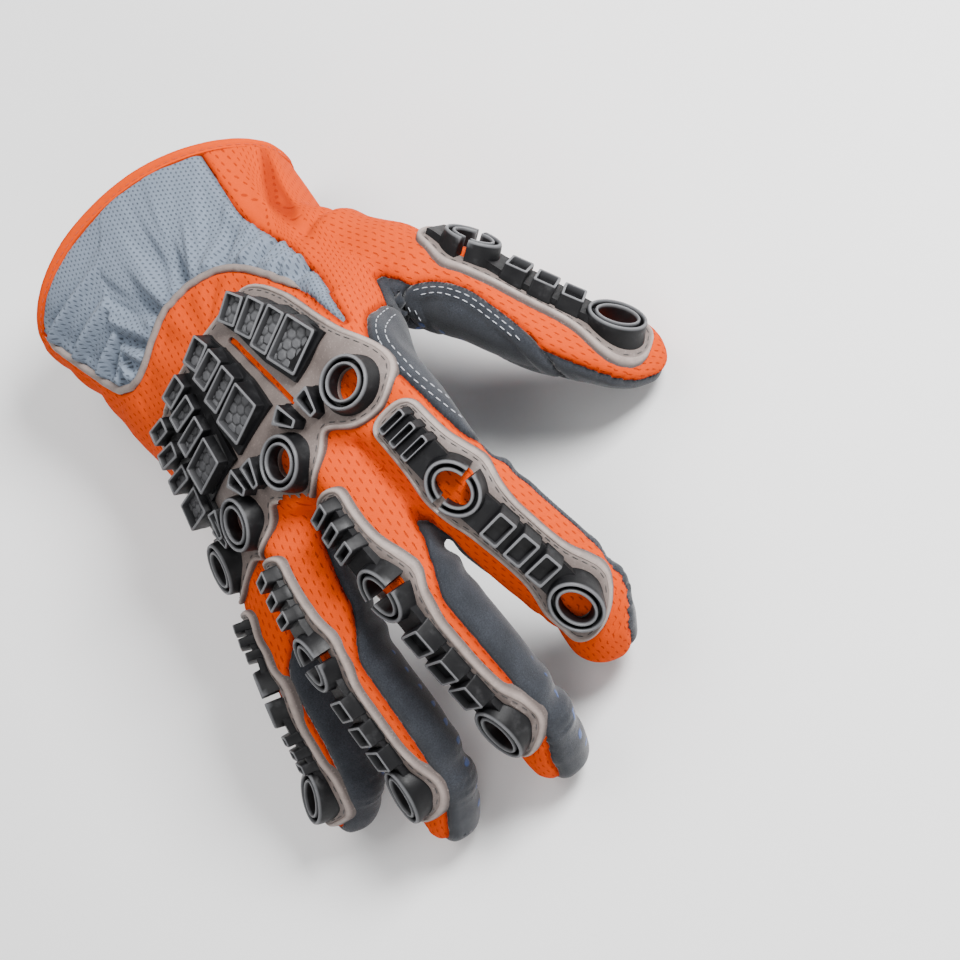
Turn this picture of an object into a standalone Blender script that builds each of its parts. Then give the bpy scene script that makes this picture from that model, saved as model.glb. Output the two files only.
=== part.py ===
"""Right-hand impact safety glove, lying palm down.

The glove is a hollow cloth form: a hand body, four curled fingers and a thumb, open at the cuff.
Its panels (knit back, suede palm, mesh cuff panel, thumb crotch patch and cuff hem) are separate
walls.  Rubber bases follow the backs of the fingers and the knuckles and carry black rubber guards.

Frame: +Y towards the fingertips, +X towards the little finger, +Z up, floor at Z = 0.
"""
import bpy
import bmesh
import numpy as np
from math import cos, radians, sin, tau
from mathutils import Vector
from mathutils.bvhtree import BVHTree

MM = 0.001

# Driving sizes, in metres.
CUFF_TO_KNUCKLE = 0.110     # back of the hand, cuff edge to knuckle line
HAND_WIDTH = 0.088          # across the knuckles, measured along the arch
HAND_THICKNESS = 0.050      # at the cuff, back to palm
KNUCKLE_HEIGHT = 0.053      # middle layer of the hand above the floor at the knuckles
HAND_SIDE = 0.028           # middle of the knuckle line beside the origin
FINGER_WIDTH = 0.0240       # at the first joint
FINGER_THICKNESS = 0.0200
THUMB_WIDTH = 0.0250
THUMB_THICKNESS = 0.0190
WALL = 0.0018               # cloth
SEAM_GAP = 0.0005           # between two sewn panels
SEAM_WALL = 0.6             # share of the wall left at a panel's edge
MESH_SIZE = 0.0018          # of the first fine skin
SKIN_FACETS = 1700          # triangles of the skin before it is cut into panels
CUFF_HEM_WIDTH = 0.0040
CUFF_BOW = 0.0100           # the cuff edge runs this much further back in the middle of the wrist
REST_REACH = 0.0009         # cloth this close to the floor lies on it
PATCH_FLOOR = 0.0260        # the crotch patch ends at this height on the palm side
SUEDE_RISE = 0.0050         # how far the palm suede climbs the side of a curled finger

BASE_THICKNESS = 0.0014     # rubber base plates
BASE_SEAT = 0.0006          # clearance between the cloth and a base plate
GUARD_SEAT = 0.00030        # clearance between a base plate and its guard
GUARD_WEB = 0.0015          # thin sheet that joins a guard's blocks
GUARD_HEIGHT = 0.0052       # top of the blocks above the guard's underside
BLOCK_GAP = 0.0012          # between neighbouring blocks
RING_LENGTH = 0.0170        # end rings, along the finger
RING_WIDTH = 0.0135
RING_BORE = 0.0066
STEEP = 0.0002              # run of a block's side walls
GUARD_MARGIN = 0.0007       # web beyond its blocks
BASE_MARGIN = 0.0028        # base plate beyond the blocks
BASE_LEAD = 0.0010          # the same at a digit plate's end by the knuckles
PIPING_RADIUS = 0.0010
PIPING_SEAT = 0.00035       # clearance between the cloth and the piping
TAB_SEAT = 0.0004           # clearance between the palm and the pull tab
TAB_THICKNESS = 0.0022
TAB_WIDTH = 0.0200
TAB_LENGTH = 0.0300
TAB_REACH = 0.0120          # how far the pull tab stands out of the cuff

# Hand sections.
# along: share of CUFF_TO_KNUCKLE from the knuckles; side: share of HAND_WIDTH from HAND_SIDE;
# height: share of KNUCKLE_HEIGHT; width: share of HAND_WIDTH; thick: share of HAND_THICKNESS;
# tilt: degrees, little-finger side down; arch: degrees turned from one edge to the other.
HAND_COLUMNS = ("along", "side", "height", "width", "thick", "tilt", "arch")
HAND_SECTIONS = (
    (-1.120, 0.160, 0.465, 1.045, 1.04, 4, 10),
    (-0.864, 0.136, 0.462, 1.010, 1.02, 5, 12),
    (-0.727, 0.102, 0.475, 0.966, 0.97, 8, 16),
    (-0.545, 0.057, 0.585, 0.977, 0.92, 13, 26),
    (-0.364, 0.011, 0.760, 1.000, 0.84, 19, 40),
    (-0.182, 0.000, 0.900, 1.000, 0.72, 25, 54),
    (0.000, 0.000, 1.000, 0.989, 0.60, 28, 62),
    (0.082, 0.000, 1.000, 0.955, 0.48, 29, 64),
)

# Fingers.
# root: degrees from the top of the knuckle arch; length: centre line, knuckle to fingertip ball;
# size: share of the finger width and thickness.
DIGIT_COLUMNS = ("root", "back", "length", "size")
DIGITS = {
    "index": (5.4, 0.0083, 0.0955, 1.02),
    "middle": (19.5, 0.0052, 0.1085, 1.00),
    "ring": (35.9, 0.0059, 0.1010, 0.96),
    "little": (51.5, 0.0080, 0.0800, 0.92),
}
# One row for each bone: share of the length; pitch down, yaw to the little finger and roll of the
# back to the little finger, in degrees; width and thickness at its far end, as shares.
BONE_COLUMNS = ("share", "pitch", "yaw", "roll", "width", "thick")
BONES = {
    "index": ((0.394, 12, -3, 4, 1.00, 1.02), (0.490, 44, -5, 6, 0.98, 0.98), (0.116, 58, 37, 8, 0.86, 0.92)),
    "middle": ((0.402, 6, 1, 38, 0.98, 1.00), (0.460, 39, 4, 33, 0.96, 0.88), (0.138, 61, 37, 33, 0.86, 0.90)),
    "ring": ((0.421, 6, 10, 48, 0.96, 0.98), (0.442, 32, 10, 45, 0.95, 0.86), (0.137, 49, 49, 45, 0.84, 0.88)),
    "little": ((0.495, 5, 18, 67, 0.95, 0.98), (0.372, 26, 19, 58, 0.92, 0.88), (0.133, 43, 62, 57, 0.82, 0.86)),
}
THUMB_ROOT = (0.008, -0.078, 0.030)
THUMB_LENGTH = 0.1165
THUMB_BONES = ((0.514, -8, -33, -76, 1.12, 1.30), (0.396, 25, -31, -76, 0.96, 0.86), (0.090, 54, -70, -76, 0.84, 0.90))
ROOT_DEPTH = 0.022          # how far a finger's root reaches back into the hand
ROOT_PITCH = -15            # degrees: a root falls towards the wrist as the hand does


# Small helpers.
def smooth_rows(rows, count):
    """A smooth curve through table rows: cubic pieces with averaged slopes, count rows out."""
    rows = np.asarray(rows, float)
    steps = np.linalg.norm(np.diff(rows[:, :3], axis=0), axis=1) ** 0.5
    knots = np.concatenate([[0.0], np.cumsum(steps)])
    slopes = np.gradient(rows, knots, axis=0)
    at = np.linspace(0.0, knots[-1], count)
    piece = np.clip(np.searchsorted(knots, at, side="right") - 1, 0, len(rows) - 2)
    width = (knots[piece + 1] - knots[piece])[:, None]
    t = (at - knots[piece])[:, None] / width
    return ((2 * t ** 3 - 3 * t ** 2 + 1) * rows[piece] + (t ** 3 - 2 * t ** 2 + t) * width * slopes[piece]
            + (3 * t ** 2 - 2 * t ** 3) * rows[piece + 1] + (t ** 3 - t ** 2) * width * slopes[piece + 1])


def unit(vectors):
    """Vectors scaled to length one."""
    return vectors / np.linalg.norm(vectors, axis=-1, keepdims=True)


def material(name, color, roughness, metallic=0.0):
    """A plain Principled material."""
    made = bpy.data.materials.new(name)
    made.use_nodes = True
    shader = made.node_tree.nodes["Principled BSDF"]
    shader.inputs["Base Color"].default_value = (*color, 1.0)
    shader.inputs["Roughness"].default_value = roughness
    shader.inputs["Metallic"].default_value = metallic
    made.diffuse_color = (*color, 1.0)
    return made


def add_object(name, mesh, look):
    """Links a mesh as a named object with its material."""
    made = bpy.data.objects.new(name, mesh)
    bpy.context.scene.collection.objects.link(made)
    mesh.materials.clear()
    mesh.materials.append(look)
    return made


def loft_mesh(rings):
    """Closed mesh through rings of points, with a fan on each end."""
    count, sides = rings.shape[:2]
    points = [tuple(p) for p in rings.reshape(-1, 3)]
    faces = []
    for row in range(count - 1):
        for side in range(sides):
            after = (side + 1) % sides
            faces.append((row * sides + side, row * sides + after,
                          (row + 1) * sides + after, (row + 1) * sides + side))
    faces.append(tuple(range(sides))[::-1])
    faces.append(tuple((count - 1) * sides + side for side in range(sides)))
    made = bpy.data.meshes.new("loft")
    made.from_pydata(points, [], faces)
    return made


def baked(thing):
    """The object's mesh as its modifiers leave it."""
    graph = bpy.context.evaluated_depsgraph_get()
    return bpy.data.meshes.new_from_object(thing.evaluated_get(graph))


# The cloth form.
class Hand:
    """The hand body: sections across Y, each bent along an arc that droops to the little finger."""

    def __init__(self):
        table = np.array(HAND_SECTIONS, float)
        along, side, height, width, thick, tilt, arch = table.T
        self.rows = np.stack([along * CUFF_TO_KNUCKLE, HAND_SIDE + side * HAND_WIDTH, height * KNUCKLE_HEIGHT,
                              width * HAND_WIDTH / 2, thick * HAND_THICKNESS / 2, np.radians(tilt),
                              np.radians(arch)], axis=1)

    def at(self, y):
        """Section values at each Y: side, height, half width, half thickness, tilt, arch radius."""
        values = [np.interp(y, self.rows[:, 0], self.rows[:, k]) for k in range(1, 7)]
        side, height, half_width, half_thick, tilt, arch = values
        return side, height, half_width, half_thick, tilt, 2 * half_width / arch

    def outline(self, row, turn, inset=0.0):
        """Section outline: a rounded bar bent along the arch, at angles turn, drawn in by inset."""
        y, side, height, half_width, half_thick, tilt, arch = row
        across = (half_width - inset) * np.sign(np.cos(turn)) * abs(np.cos(turn)) ** 0.8
        lift = (half_thick - inset) * np.sign(np.sin(turn)) * abs(np.sin(turn)) ** 0.8
        radius = 2 * half_width / arch
        angle = tilt + across / radius
        points = np.stack([side - radius * sin(tilt) + (radius + lift) * np.sin(angle), np.full(len(turn), y),
                           height - radius * cos(tilt) + (radius + lift) * np.cos(angle)], axis=1)
        return points, across, lift

    def above(self, along, across):
        """A place just under the back of the hand, and its outward direction there."""
        side, height, half_width, half_thick, tilt, radius = [float(v) for v in self.at(along)]
        angle = tilt + across / radius
        up = np.array([sin(angle), 0.0, cos(angle)])
        centre = np.array([side - radius * sin(tilt), along, height - radius * cos(tilt)])
        return centre + up * (radius + half_thick * 0.8), up

    def rings(self, count=14, sides=32):
        """Section outlines along the hand."""
        turn = np.arange(sides) * tau / sides
        return np.array([self.outline(row, turn)[0] for row in smooth_rows(self.rows, count)])

    def place(self, points):
        """Across, along, lift above the middle layer, and signed distance of points."""
        side, height, half_width, half_thick, tilt, radius = self.at(points[:, 1])
        x = points[:, 0] - side + radius * np.sin(tilt)
        z = points[:, 2] - height + radius * np.cos(tilt)
        across = (np.arctan2(x, z) - tilt) * radius
        lift = np.hypot(x, z) - radius
        shape = (abs(across / half_width) ** 2.5 + abs(lift / half_thick) ** 2.5) ** 0.4
        end = points[:, 1] - self.rows[-1, 0]
        return across, points[:, 1], lift, np.maximum((shape - 1) * half_thick, end)


class Digit:
    """A finger or thumb: a centre line through its joints with a rounded section on it."""

    def __init__(self, name, root, lead, bones, length, width, thick):
        self.name = name
        joint = np.array(root, float)
        first = self.direction(min(bones[0][1], ROOT_PITCH), bones[0][2])
        rows = [[*(joint - lead * first), width * 0.46, thick * 0.46, radians(bones[0][3])],
                [*joint, width * 0.50, thick * 0.58, radians(bones[0][3])]]
        for share, pitch, yaw, roll, wide, deep in bones:
            joint = joint + share * length * self.direction(pitch, yaw)
            rows.append([*joint, wide * width / 2, deep * thick / 2, radians(roll)])
        self.rows = smooth_rows(rows, 40)
        self.line = self.rows[:, :3]
        self.tangent = unit(np.gradient(self.line, axis=0))
        roll = self.rows[:, 5]
        up = np.stack([np.sin(roll), 0 * roll, np.cos(roll)], axis=1)
        self.up = unit(up - self.tangent * (up * self.tangent).sum(1, keepdims=True))
        self.over = np.cross(self.tangent, self.up)
        steps = np.linalg.norm(np.diff(self.line, axis=0), axis=1)
        self.length = np.concatenate([[0.0], np.cumsum(steps)]) - lead

    @staticmethod
    def direction(pitch, yaw):
        """Unit vector from a pitch below level and a yaw towards +X, in degrees."""
        flat = cos(radians(pitch))
        return np.array([flat * sin(radians(yaw)), flat * cos(radians(yaw)), -sin(radians(pitch))])

    def rings(self, sides=16):
        """Section outlines along the centre line, ending in a round ball."""
        turn = np.arange(sides) * tau / sides
        rings = []
        for row in range(0, len(self.line), 2):
            rings.append(self.line[row] + np.outer(np.cos(turn), self.over[row]) * self.rows[row, 3]
                         + np.outer(np.sin(turn), self.up[row]) * self.rows[row, 4])
        last = self.rows[-1]
        for share in (0.4, 0.7, 0.9, 0.99):
            shrink = (1 - share ** 2) ** 0.5
            centre = self.line[-1] + self.tangent[-1] * last[4] * 1.05 * share
            rings.append(centre + np.outer(np.cos(turn), self.over[-1]) * last[3] * shrink
                         + np.outer(np.sin(turn), self.up[-1]) * last[4] * shrink)
        return np.array(rings)

    def frame(self, along):
        """Centre, up, over and tangent at a length from the knuckle, clamped to the ends."""
        out = [np.array([np.interp(along, self.length, values[:, k]) for k in range(3)])
               for values in (self.line, self.up, self.over, self.tangent)]
        return out[0], unit(out[1]), unit(out[2]), unit(out[3])

    def place(self, points):
        """Along, over, lift above the centre line, and signed distance of points."""
        gap = points[:, None] - self.line[None]
        near = (gap ** 2).sum(2).argmin(1)
        offset = points - self.line[near]
        ahead = (offset * self.tangent[near]).sum(1)
        over = (offset * self.over[near]).sum(1)
        lift = (offset * self.up[near]).sum(1)
        half_width, half_thick = self.rows[near, 3], self.rows[near, 4]
        end = np.where(near == len(self.line) - 1, np.maximum(ahead, 0), 0)
        shape = np.sqrt((over / half_width) ** 2 + (lift / half_thick) ** 2 + (end / half_thick) ** 2)
        return self.length[near] + ahead, over, lift, (shape - 1) * half_thick


def make_digits(hand):
    """The four fingers on the knuckle arch, and the thumb."""
    side, height, half_width, half_thick, tilt, radius = hand.at(0.0)
    digits = {}
    for name, (root, back, length, size) in DIGITS.items():
        angle = radians(root)
        reach = radius * 1.03
        place = (side - radius * sin(tilt) + reach * sin(angle), -back, height - radius * cos(tilt) + reach * cos(angle))
        digits[name] = Digit(name, place, ROOT_DEPTH, BONES[name], length, FINGER_WIDTH * size, FINGER_THICKNESS * size)
    digits["thumb"] = Digit("thumb", THUMB_ROOT, 0.010, THUMB_BONES, THUMB_LENGTH, THUMB_WIDTH, THUMB_THICKNESS)
    return digits


def cloth_form(hand, digits, hem_line):
    """One skin around the hand and the digits, open at the hem and flattened on the floor."""
    parts = [loft_mesh(hand.rings())] + [loft_mesh(digit.rings()) for digit in digits.values()]
    joined = bmesh.new()
    for part in parts:
        joined.from_mesh(part)
    bmesh.ops.recalc_face_normals(joined, faces=joined.faces)
    mesh = bpy.data.meshes.new("form")
    joined.to_mesh(mesh)
    form = bpy.data.objects.new("form", mesh)
    bpy.context.scene.collection.objects.link(form)
    remesh = form.modifiers.new("skin", "REMESH")
    remesh.mode = "VOXEL"
    remesh.voxel_size = MESH_SIZE
    relax = form.modifiers.new("relax", "SMOOTH")
    relax.factor = 0.5
    relax.iterations = 6
    fine = bmesh.new()
    fine.from_mesh(baked(form))
    form.modifiers.clear()
    cut_along(fine, hem_line)
    outside = [face for face in fine.faces if hem_line(np.array([face.calc_center_median()]))[0] < 0]
    bmesh.ops.delete(fine, geom=outside, context="FACES")
    bmesh.ops.triangulate(fine, faces=fine.faces)
    fine.to_mesh(form.data)
    coarse = form.modifiers.new("coarse", "DECIMATE")
    coarse.ratio = SKIN_FACETS / len(form.data.polygons)
    skin = bmesh.new()
    skin.from_mesh(baked(form))
    bpy.data.objects.remove(form)
    for vert in skin.verts:
        vert.co.z = vert.co.z if vert.co.z > REST_REACH else 0.0
    return skin


# Borders between the panels.
class Borders:
    """Fields that are positive inside a panel and zero on its border, in metres."""

    # mesh cuff panel: share of HAND_WIDTH across, share of CUFF_TO_KNUCKLE along
    CUFF_PANEL = ((-0.37, -1.25), (-0.355, -0.88), (-0.32, -0.72), (-0.35, -0.64), (-0.385, -0.54), (-0.40, -0.34),
                  (-0.43, -0.12), (-0.345, -0.36), (-0.27, -0.53), (-0.21, -0.62), (-0.11, -0.655), (0.02, -0.66),
                  (0.125, -0.62), (0.21, -0.565), (0.31, -0.595), (0.36, -0.68), (0.43, -0.93), (0.40, -1.25))
    # crotch patch between thumb and index seen from above: the same shares, from the origin
    PATCH = ((-0.108, -0.07), (-0.136, -0.17), (-0.205, -0.25), (-0.307, -0.21), (-0.375, -0.14), (-0.42, 0.00),
             (-0.42, 0.08), (-0.23, 0.27), (-0.176, 0.245), (-0.142, 0.11), (-0.125, 0.045))

    def __init__(self, hand, digits):
        self.hand = hand
        self.digits = digits

    def back(self, points):
        """Positive on the back of the hand and of the digits, negative on the palm side."""
        across, along, lift, away = self.hand.place(points)
        weights = [np.exp(-np.clip(away, -0.01, 0.05) / 0.0025)]
        heights = [lift]
        for name, digit in self.digits.items():
            along, over, lift, away = digit.place(points)
            rise = np.zeros(len(points))
            if name in ("middle", "ring", "little"):
                start = digit.length[-1] * 0.46
                rise = np.where((along > start) & (over < 0), SUEDE_RISE, 0.0)
            weights.append(np.exp(-np.clip(away, -0.01, 0.05) / 0.0025))
            heights.append(lift - rise)
        weights = np.array(weights)
        return (weights * np.array(heights)).sum(0) / weights.sum(0)

    @staticmethod
    def outline(points, corners):
        """Signed distance to a flat closed outline, positive inside."""
        corners = np.asarray(corners, float)
        ends = np.roll(corners, -1, axis=0)
        best = np.full(len(points), np.inf)
        inside = np.zeros(len(points), bool)
        for (ax, ay), (bx, by) in zip(corners, ends):
            edge = np.array([bx - ax, by - ay])
            gap = points - (ax, ay)
            t = np.clip(gap @ edge / (edge @ edge), 0, 1)
            best = np.minimum(best, np.hypot(*(gap - t[:, None] * edge).T))
            if ay != by:
                crossing = (ay > points[:, 1]) != (by > points[:, 1])
                at = (bx - ax) * (points[:, 1] - ay) / (by - ay) + ax
                inside ^= crossing & (points[:, 0] < at)
        return np.where(inside, best, -best)

    def cuff_panel(self, points):
        """Positive inside the mesh cuff panel on the back of the wrist."""
        across, along, lift, away = self.hand.place(points)
        corners = np.array(self.CUFF_PANEL) * (HAND_WIDTH, CUFF_TO_KNUCKLE)
        return np.minimum(self.outline(np.stack([across, along], axis=1), corners), lift)

    def patch(self, points):
        """Positive inside the suede patch over the thumb crotch."""
        corners = np.array(self.PATCH) * (HAND_WIDTH, CUFF_TO_KNUCKLE)
        return np.minimum(self.outline(points[:, :2], corners), points[:, 2] - PATCH_FLOOR)

    def hem_line(self, points):
        """Positive on the hand's side of the hem, which runs further back in the middle of the wrist."""
        across, along, lift, away = self.hand.place(points)
        return along - cuff_line(across, lift) - CUFF_HEM_WIDTH


def cuff_line(across, lift):
    """Y of the cuff edge at a place around the wrist."""
    rise = np.clip(0.5 + lift / HAND_THICKNESS, 0, 1)
    return CUFF_BOW * (0.5 - (1 - np.clip(across / (HAND_WIDTH / 2), -1, 1) ** 2) * rise) - CUFF_TO_KNUCKLE


def cut_along(skin, field):
    """Splits the skin's faces along the field's zero line, moving near corners onto it."""
    verts = list(skin.verts)
    values = field(np.array([v.co for v in verts]))
    value = {v: float(f) for v, f in zip(verts, values)}
    for vert in verts:
        best = None
        for edge in vert.link_edges:
            other = edge.other_vert(vert)
            if value[vert] * value[other] < 0:
                share = value[vert] / (value[vert] - value[other])
                if share < 0.28 and (best is None or share < best[0]):
                    best = (share, other)
        if best:
            vert.co = vert.co.lerp(best[1].co, best[0])
            value[vert] = 0.0
    for edge in list(skin.edges):
        a, b = edge.verts
        if value[a] * value[b] < 0:
            new_edge, middle = bmesh.utils.edge_split(edge, a, value[a] / (value[a] - value[b]))
            value[middle] = 0.0
    for face in list(skin.faces):
        corners = list(face.verts)
        zeros = [v for v in corners if value[v] == 0.0]
        if len(zeros) == 2 and len(corners) > 3 and not skin.edges.get(zeros):
            bmesh.utils.face_split(face, zeros[0], zeros[1])


def make_panels(skin, borders, looks):
    """Cuts the skin into its panels and gives each one its wall."""
    for field in (borders.back, borders.cuff_panel, borders.patch):
        cut_along(skin, field)
    bmesh.ops.triangulate(skin, faces=skin.faces)
    bmesh.ops.dissolve_degenerate(skin, dist=0.0003, edges=skin.edges)
    faces = list(skin.faces)
    centres = np.array([face.calc_center_median() for face in faces])
    names = np.where(borders.back(centres) > 0, "back_panel", "palm_panel").astype(object)
    names[borders.patch(centres) > 0] = "thumb_crotch_patch"
    names[borders.cuff_panel(centres) > 0] = "cuff_panel"
    label = dict(zip(faces, names))
    skin.normal_update()
    for turn in range(3):
        soft = {vert: sum((edge.other_vert(vert).normal for edge in vert.link_edges), vert.normal.copy() * 2)
                for vert in skin.verts}
        for vert in skin.verts:
            vert.normal = soft[vert].normalized()
    for turn in range(6):
        join_islands(label)
        open_pinches(skin, label)
    for name in looks:
        panel_wall(name, [face for face in faces if label[face] == name], looks[name])


def join_islands(label):
    """Gives every small island of a panel to the panel around it."""
    seen = set()
    pieces = {}
    for first in label:
        if first in seen:
            continue
        piece = [first]
        seen.add(first)
        for face in piece:
            for edge in face.edges:
                for other in edge.link_faces:
                    if other not in seen and label[other] == label[first]:
                        seen.add(other)
                        piece.append(other)
        pieces.setdefault(label[first], []).append(piece)
    for name, found in pieces.items():
        found.sort(key=len)
        for piece in found[:-1]:
            around = [label[other] for face in piece for edge in face.edges for other in edge.link_faces
                      if label[other] != name]
            for face in piece:
                label[face] = max(set(around), key=around.count)


def open_pinches(skin, label):
    """Where a panel touches itself at one corner only, its smaller fan goes to a neighbour."""
    for vert in skin.verts:
        for name in set(label[face] for face in vert.link_faces):
            fans = []
            left = [face for face in vert.link_faces if label[face] == name]
            while left:
                fan = [left.pop()]
                for face in fan:
                    for other in list(left):
                        if any(edge in other.edges for edge in face.edges if vert in edge.verts):
                            fan.append(other)
                            left.remove(other)
                fans.append(fan)
            fans.sort(key=len)
            for fan in fans[:-1]:
                near = [label[other] for face in fan for edge in face.edges for other in edge.link_faces
                        if label[other] != name]
                for face in fan:
                    label[face] = max(set(near), key=near.count)


def panel_wall(name, faces, look):
    """One panel: its faces drawn in from the seam by half the gap, with a wall on their inside."""
    inside = set(faces)
    verts = dict.fromkeys(vert for face in faces for vert in face.verts)
    border = [loop for face in faces for loop in face.loops
              if sum(other in inside for other in loop.edge.link_faces) == 1]
    inward = {vert: Vector() for vert in verts}
    for loop in border:
        ahead = (loop.link_loop_next.vert.co - loop.vert.co).normalized()
        for vert in (loop.vert, loop.link_loop_next.vert):
            inward[vert] += loop.face.normal.cross(ahead)
    panel = bmesh.new()
    outer, inner = {}, {}
    for vert in verts:
        move = inward[vert] * SEAM_GAP / max(inward[vert].length_squared, 0.35)
        outer[vert] = panel.verts.new(vert.co + move)
        depth = WALL if inward[vert].length == 0 else WALL * SEAM_WALL
        inner[vert] = panel.verts.new(vert.co + move - vert.normal * depth)
    for face in faces:
        panel.faces.new([outer[vert] for vert in face.verts])
        panel.faces.new([inner[vert] for vert in reversed(face.verts)])
    for loop in border:
        here, there = loop.vert, loop.link_loop_next.vert
        panel.faces.new((outer[there], outer[here], inner[here], inner[there]))
    mesh = bpy.data.meshes.new(name)
    panel.to_mesh(mesh)
    mesh.shade_smooth()
    add_object(name, mesh, look)


def make_hem(hand, look, sides=40):
    """Folded band around the cuff edge, open in the middle."""
    turn = np.arange(sides) * tau / sides
    rings = []
    for share, inset in ((0, 0), (1, 0), (1, WALL), (0, WALL)):
        ring = []
        for angle in turn:
            y = -CUFF_TO_KNUCKLE
            for step in range(3):
                row = np.array([y, *hand.at(y)])
                row[6] = 2 * row[3] / row[6]
                point, across, lift = hand.outline(row, np.array([angle]), inset)
                y = float(cuff_line(across, lift)[0]) + share * (CUFF_HEM_WIDTH - SEAM_GAP)
            ring.append([point[0][0], y, max(point[0][2], WALL if inset else 0.0)])
        rings.append(ring)
    made = bmesh.new()
    verts = [[made.verts.new(place) for place in ring] for ring in rings]
    for here, there in zip(verts, verts[1:] + verts[:1]):
        for side in range(sides):
            after = (side + 1) % sides
            made.faces.new((here[side], here[after], there[after], there[side]))
    mesh = closed(made)
    mesh.shade_smooth()
    add_object("cuff_hem", mesh, look)


def make_piping(hand, tree, look, sides=6):
    """Round cord along the hand's border of the cuff panel, laid on the cloth."""
    corners = np.array(Borders.CUFF_PANEL[7:17]) * (HAND_WIDTH, CUFF_TO_KNUCKLE)
    steps = np.concatenate([[0.0], np.cumsum(np.linalg.norm(np.diff(corners, axis=0), axis=1))])
    at = np.linspace(0.0, steps[-1], int(steps[-1] / 0.0035))
    path = []
    for across, along in zip(np.interp(at, steps, corners[:, 0]), np.interp(at, steps, corners[:, 1])):
        place, up = hand.above(along, across)
        point = tree.ray_cast(Vector(place + up * 0.018), Vector(-up), 0.05)[0]
        for turn in range(6):
            near, normal, face, away = tree.find_nearest(point)
            point = point + normal * max(PIPING_RADIUS + PIPING_SEAT - (point - near).dot(normal), 0.0)
        path.append(point)
    path = np.array(path)
    ahead = unit(np.gradient(path, axis=0))
    up = np.array([tree.find_nearest(Vector(point))[1] for point in path])
    up = unit(up - ahead * (up * ahead).sum(1, keepdims=True))
    over = np.cross(ahead, up)
    turn = (np.arange(sides) * tau / sides)[None, :, None]
    mesh = loft_mesh(path[:, None] + PIPING_RADIUS * (np.cos(turn) * over[:, None] + np.sin(turn) * up[:, None]))
    made = bmesh.new()
    made.from_mesh(mesh)
    mesh = closed(made)
    mesh.shade_smooth()
    add_object("piping", mesh, look)


def make_tab(hand, look):
    """Pull tab that lies on the inside of the palm and stands out of the cuff, with a round end."""
    side = float(hand.at(-CUFF_TO_KNUCKLE)[0])
    mouth = float(cuff_line(0.0, -HAND_THICKNESS / 2))
    corner = TAB_WIDTH * 0.3
    back, front = mouth - TAB_REACH, mouth - TAB_REACH + TAB_LENGTH
    outline = [(side + TAB_WIDTH / 2, front), (side - TAB_WIDTH / 2, front)]
    for sign, angles in ((-1, np.linspace(0, tau / 4, 5)), (1, np.linspace(tau / 4, 0, 5))):
        for angle in angles:
            outline.append((side + sign * (TAB_WIDTH / 2 - corner + corner * cos(angle)),
                            back + corner - corner * sin(angle)))
    made = bmesh.new()
    base = WALL + TAB_SEAT
    low, high = [[made.verts.new((x, y, z)) for x, y in outline] for z in (base, base + TAB_THICKNESS)]
    made.faces.new(low)
    made.faces.new(high)
    for here in range(len(outline)):
        after = (here + 1) % len(outline)
        made.faces.new((low[here], low[after], high[after], high[here]))
    add_object("pull_tab", closed(made), look)


# Rubber pieces on the cloth.
class Seat:
    """The cloth under a rubber piece, seen along the piece's own up directions.

    Coordinates are along and over, in metres; point() lies a given height above the cloth.
    """

    def __init__(self, tree, frame, along, over, steps=(24, 13)):
        self.tree = tree
        self.frame = frame
        self.along = np.linspace(*along, steps[0])
        self.over = np.linspace(*over, steps[1])
        rise = np.zeros(steps)
        for i, a in enumerate(self.along):
            for j, o in enumerate(self.over):
                place, up = frame(a, o)
                hit = tree.ray_cast(Vector(place + up * 0.018), Vector(-up), 0.036)[0]
                rise[i, j] = np.dot(np.array(hit) - place, up) if hit else np.nan
        middle = steps[1] // 2
        for j in [*range(middle - 1, -1, -1), *range(middle + 1, steps[1])]:
            inner = rise[:, j + 1] if j < middle else rise[:, j - 1]
            rise[:, j] = np.where(np.isnan(rise[:, j]), inner - 0.0008, rise[:, j])
        soft = rise.copy()
        for turn in range(2):
            padded = np.pad(soft, 1, mode="edge")
            soft = (padded[:-2, 1:-1] + padded[2:, 1:-1] + padded[1:-1, :-2] + padded[1:-1, 2:] + 2 * soft) / 6
        self.rise = np.maximum(soft, rise)

    def point(self, along, over, height):
        """Place of one point of a rubber piece."""
        i = np.clip(np.interp(along, self.along, np.arange(len(self.along))), 0, len(self.along) - 1.001)
        j = np.clip(np.interp(over, self.over, np.arange(len(self.over))), 0, len(self.over) - 1.001)
        a, b = int(i), int(j)
        u, v = i - a, j - b
        cell = self.rise[a:a + 2, b:b + 2]
        rise = (cell[0, 0] * (1 - u) + cell[1, 0] * u) * (1 - v) + (cell[0, 1] * (1 - u) + cell[1, 1] * u) * v
        place, up = self.frame(along, over)
        return place + up * (rise + height)


class Deck:
    """The top face of a base plate, for the guard on it."""

    def __init__(self, base, frame):
        self.tree = BVHTree.FromPolygons([vert.co for vert in base.vertices], [face.vertices for face in base.polygons])
        self.frame = frame

    def point(self, along, over, height):
        """Place of one point of a guard, at a height above the plate."""
        place, up = self.frame(along, over)
        hit = self.tree.ray_cast(Vector(place + up * 0.03), Vector(-up), 0.06)[0]
        if hit is None:
            hit = self.tree.find_nearest(Vector(place + up * 0.005))[0]
        return np.array(hit) + up * height


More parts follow.
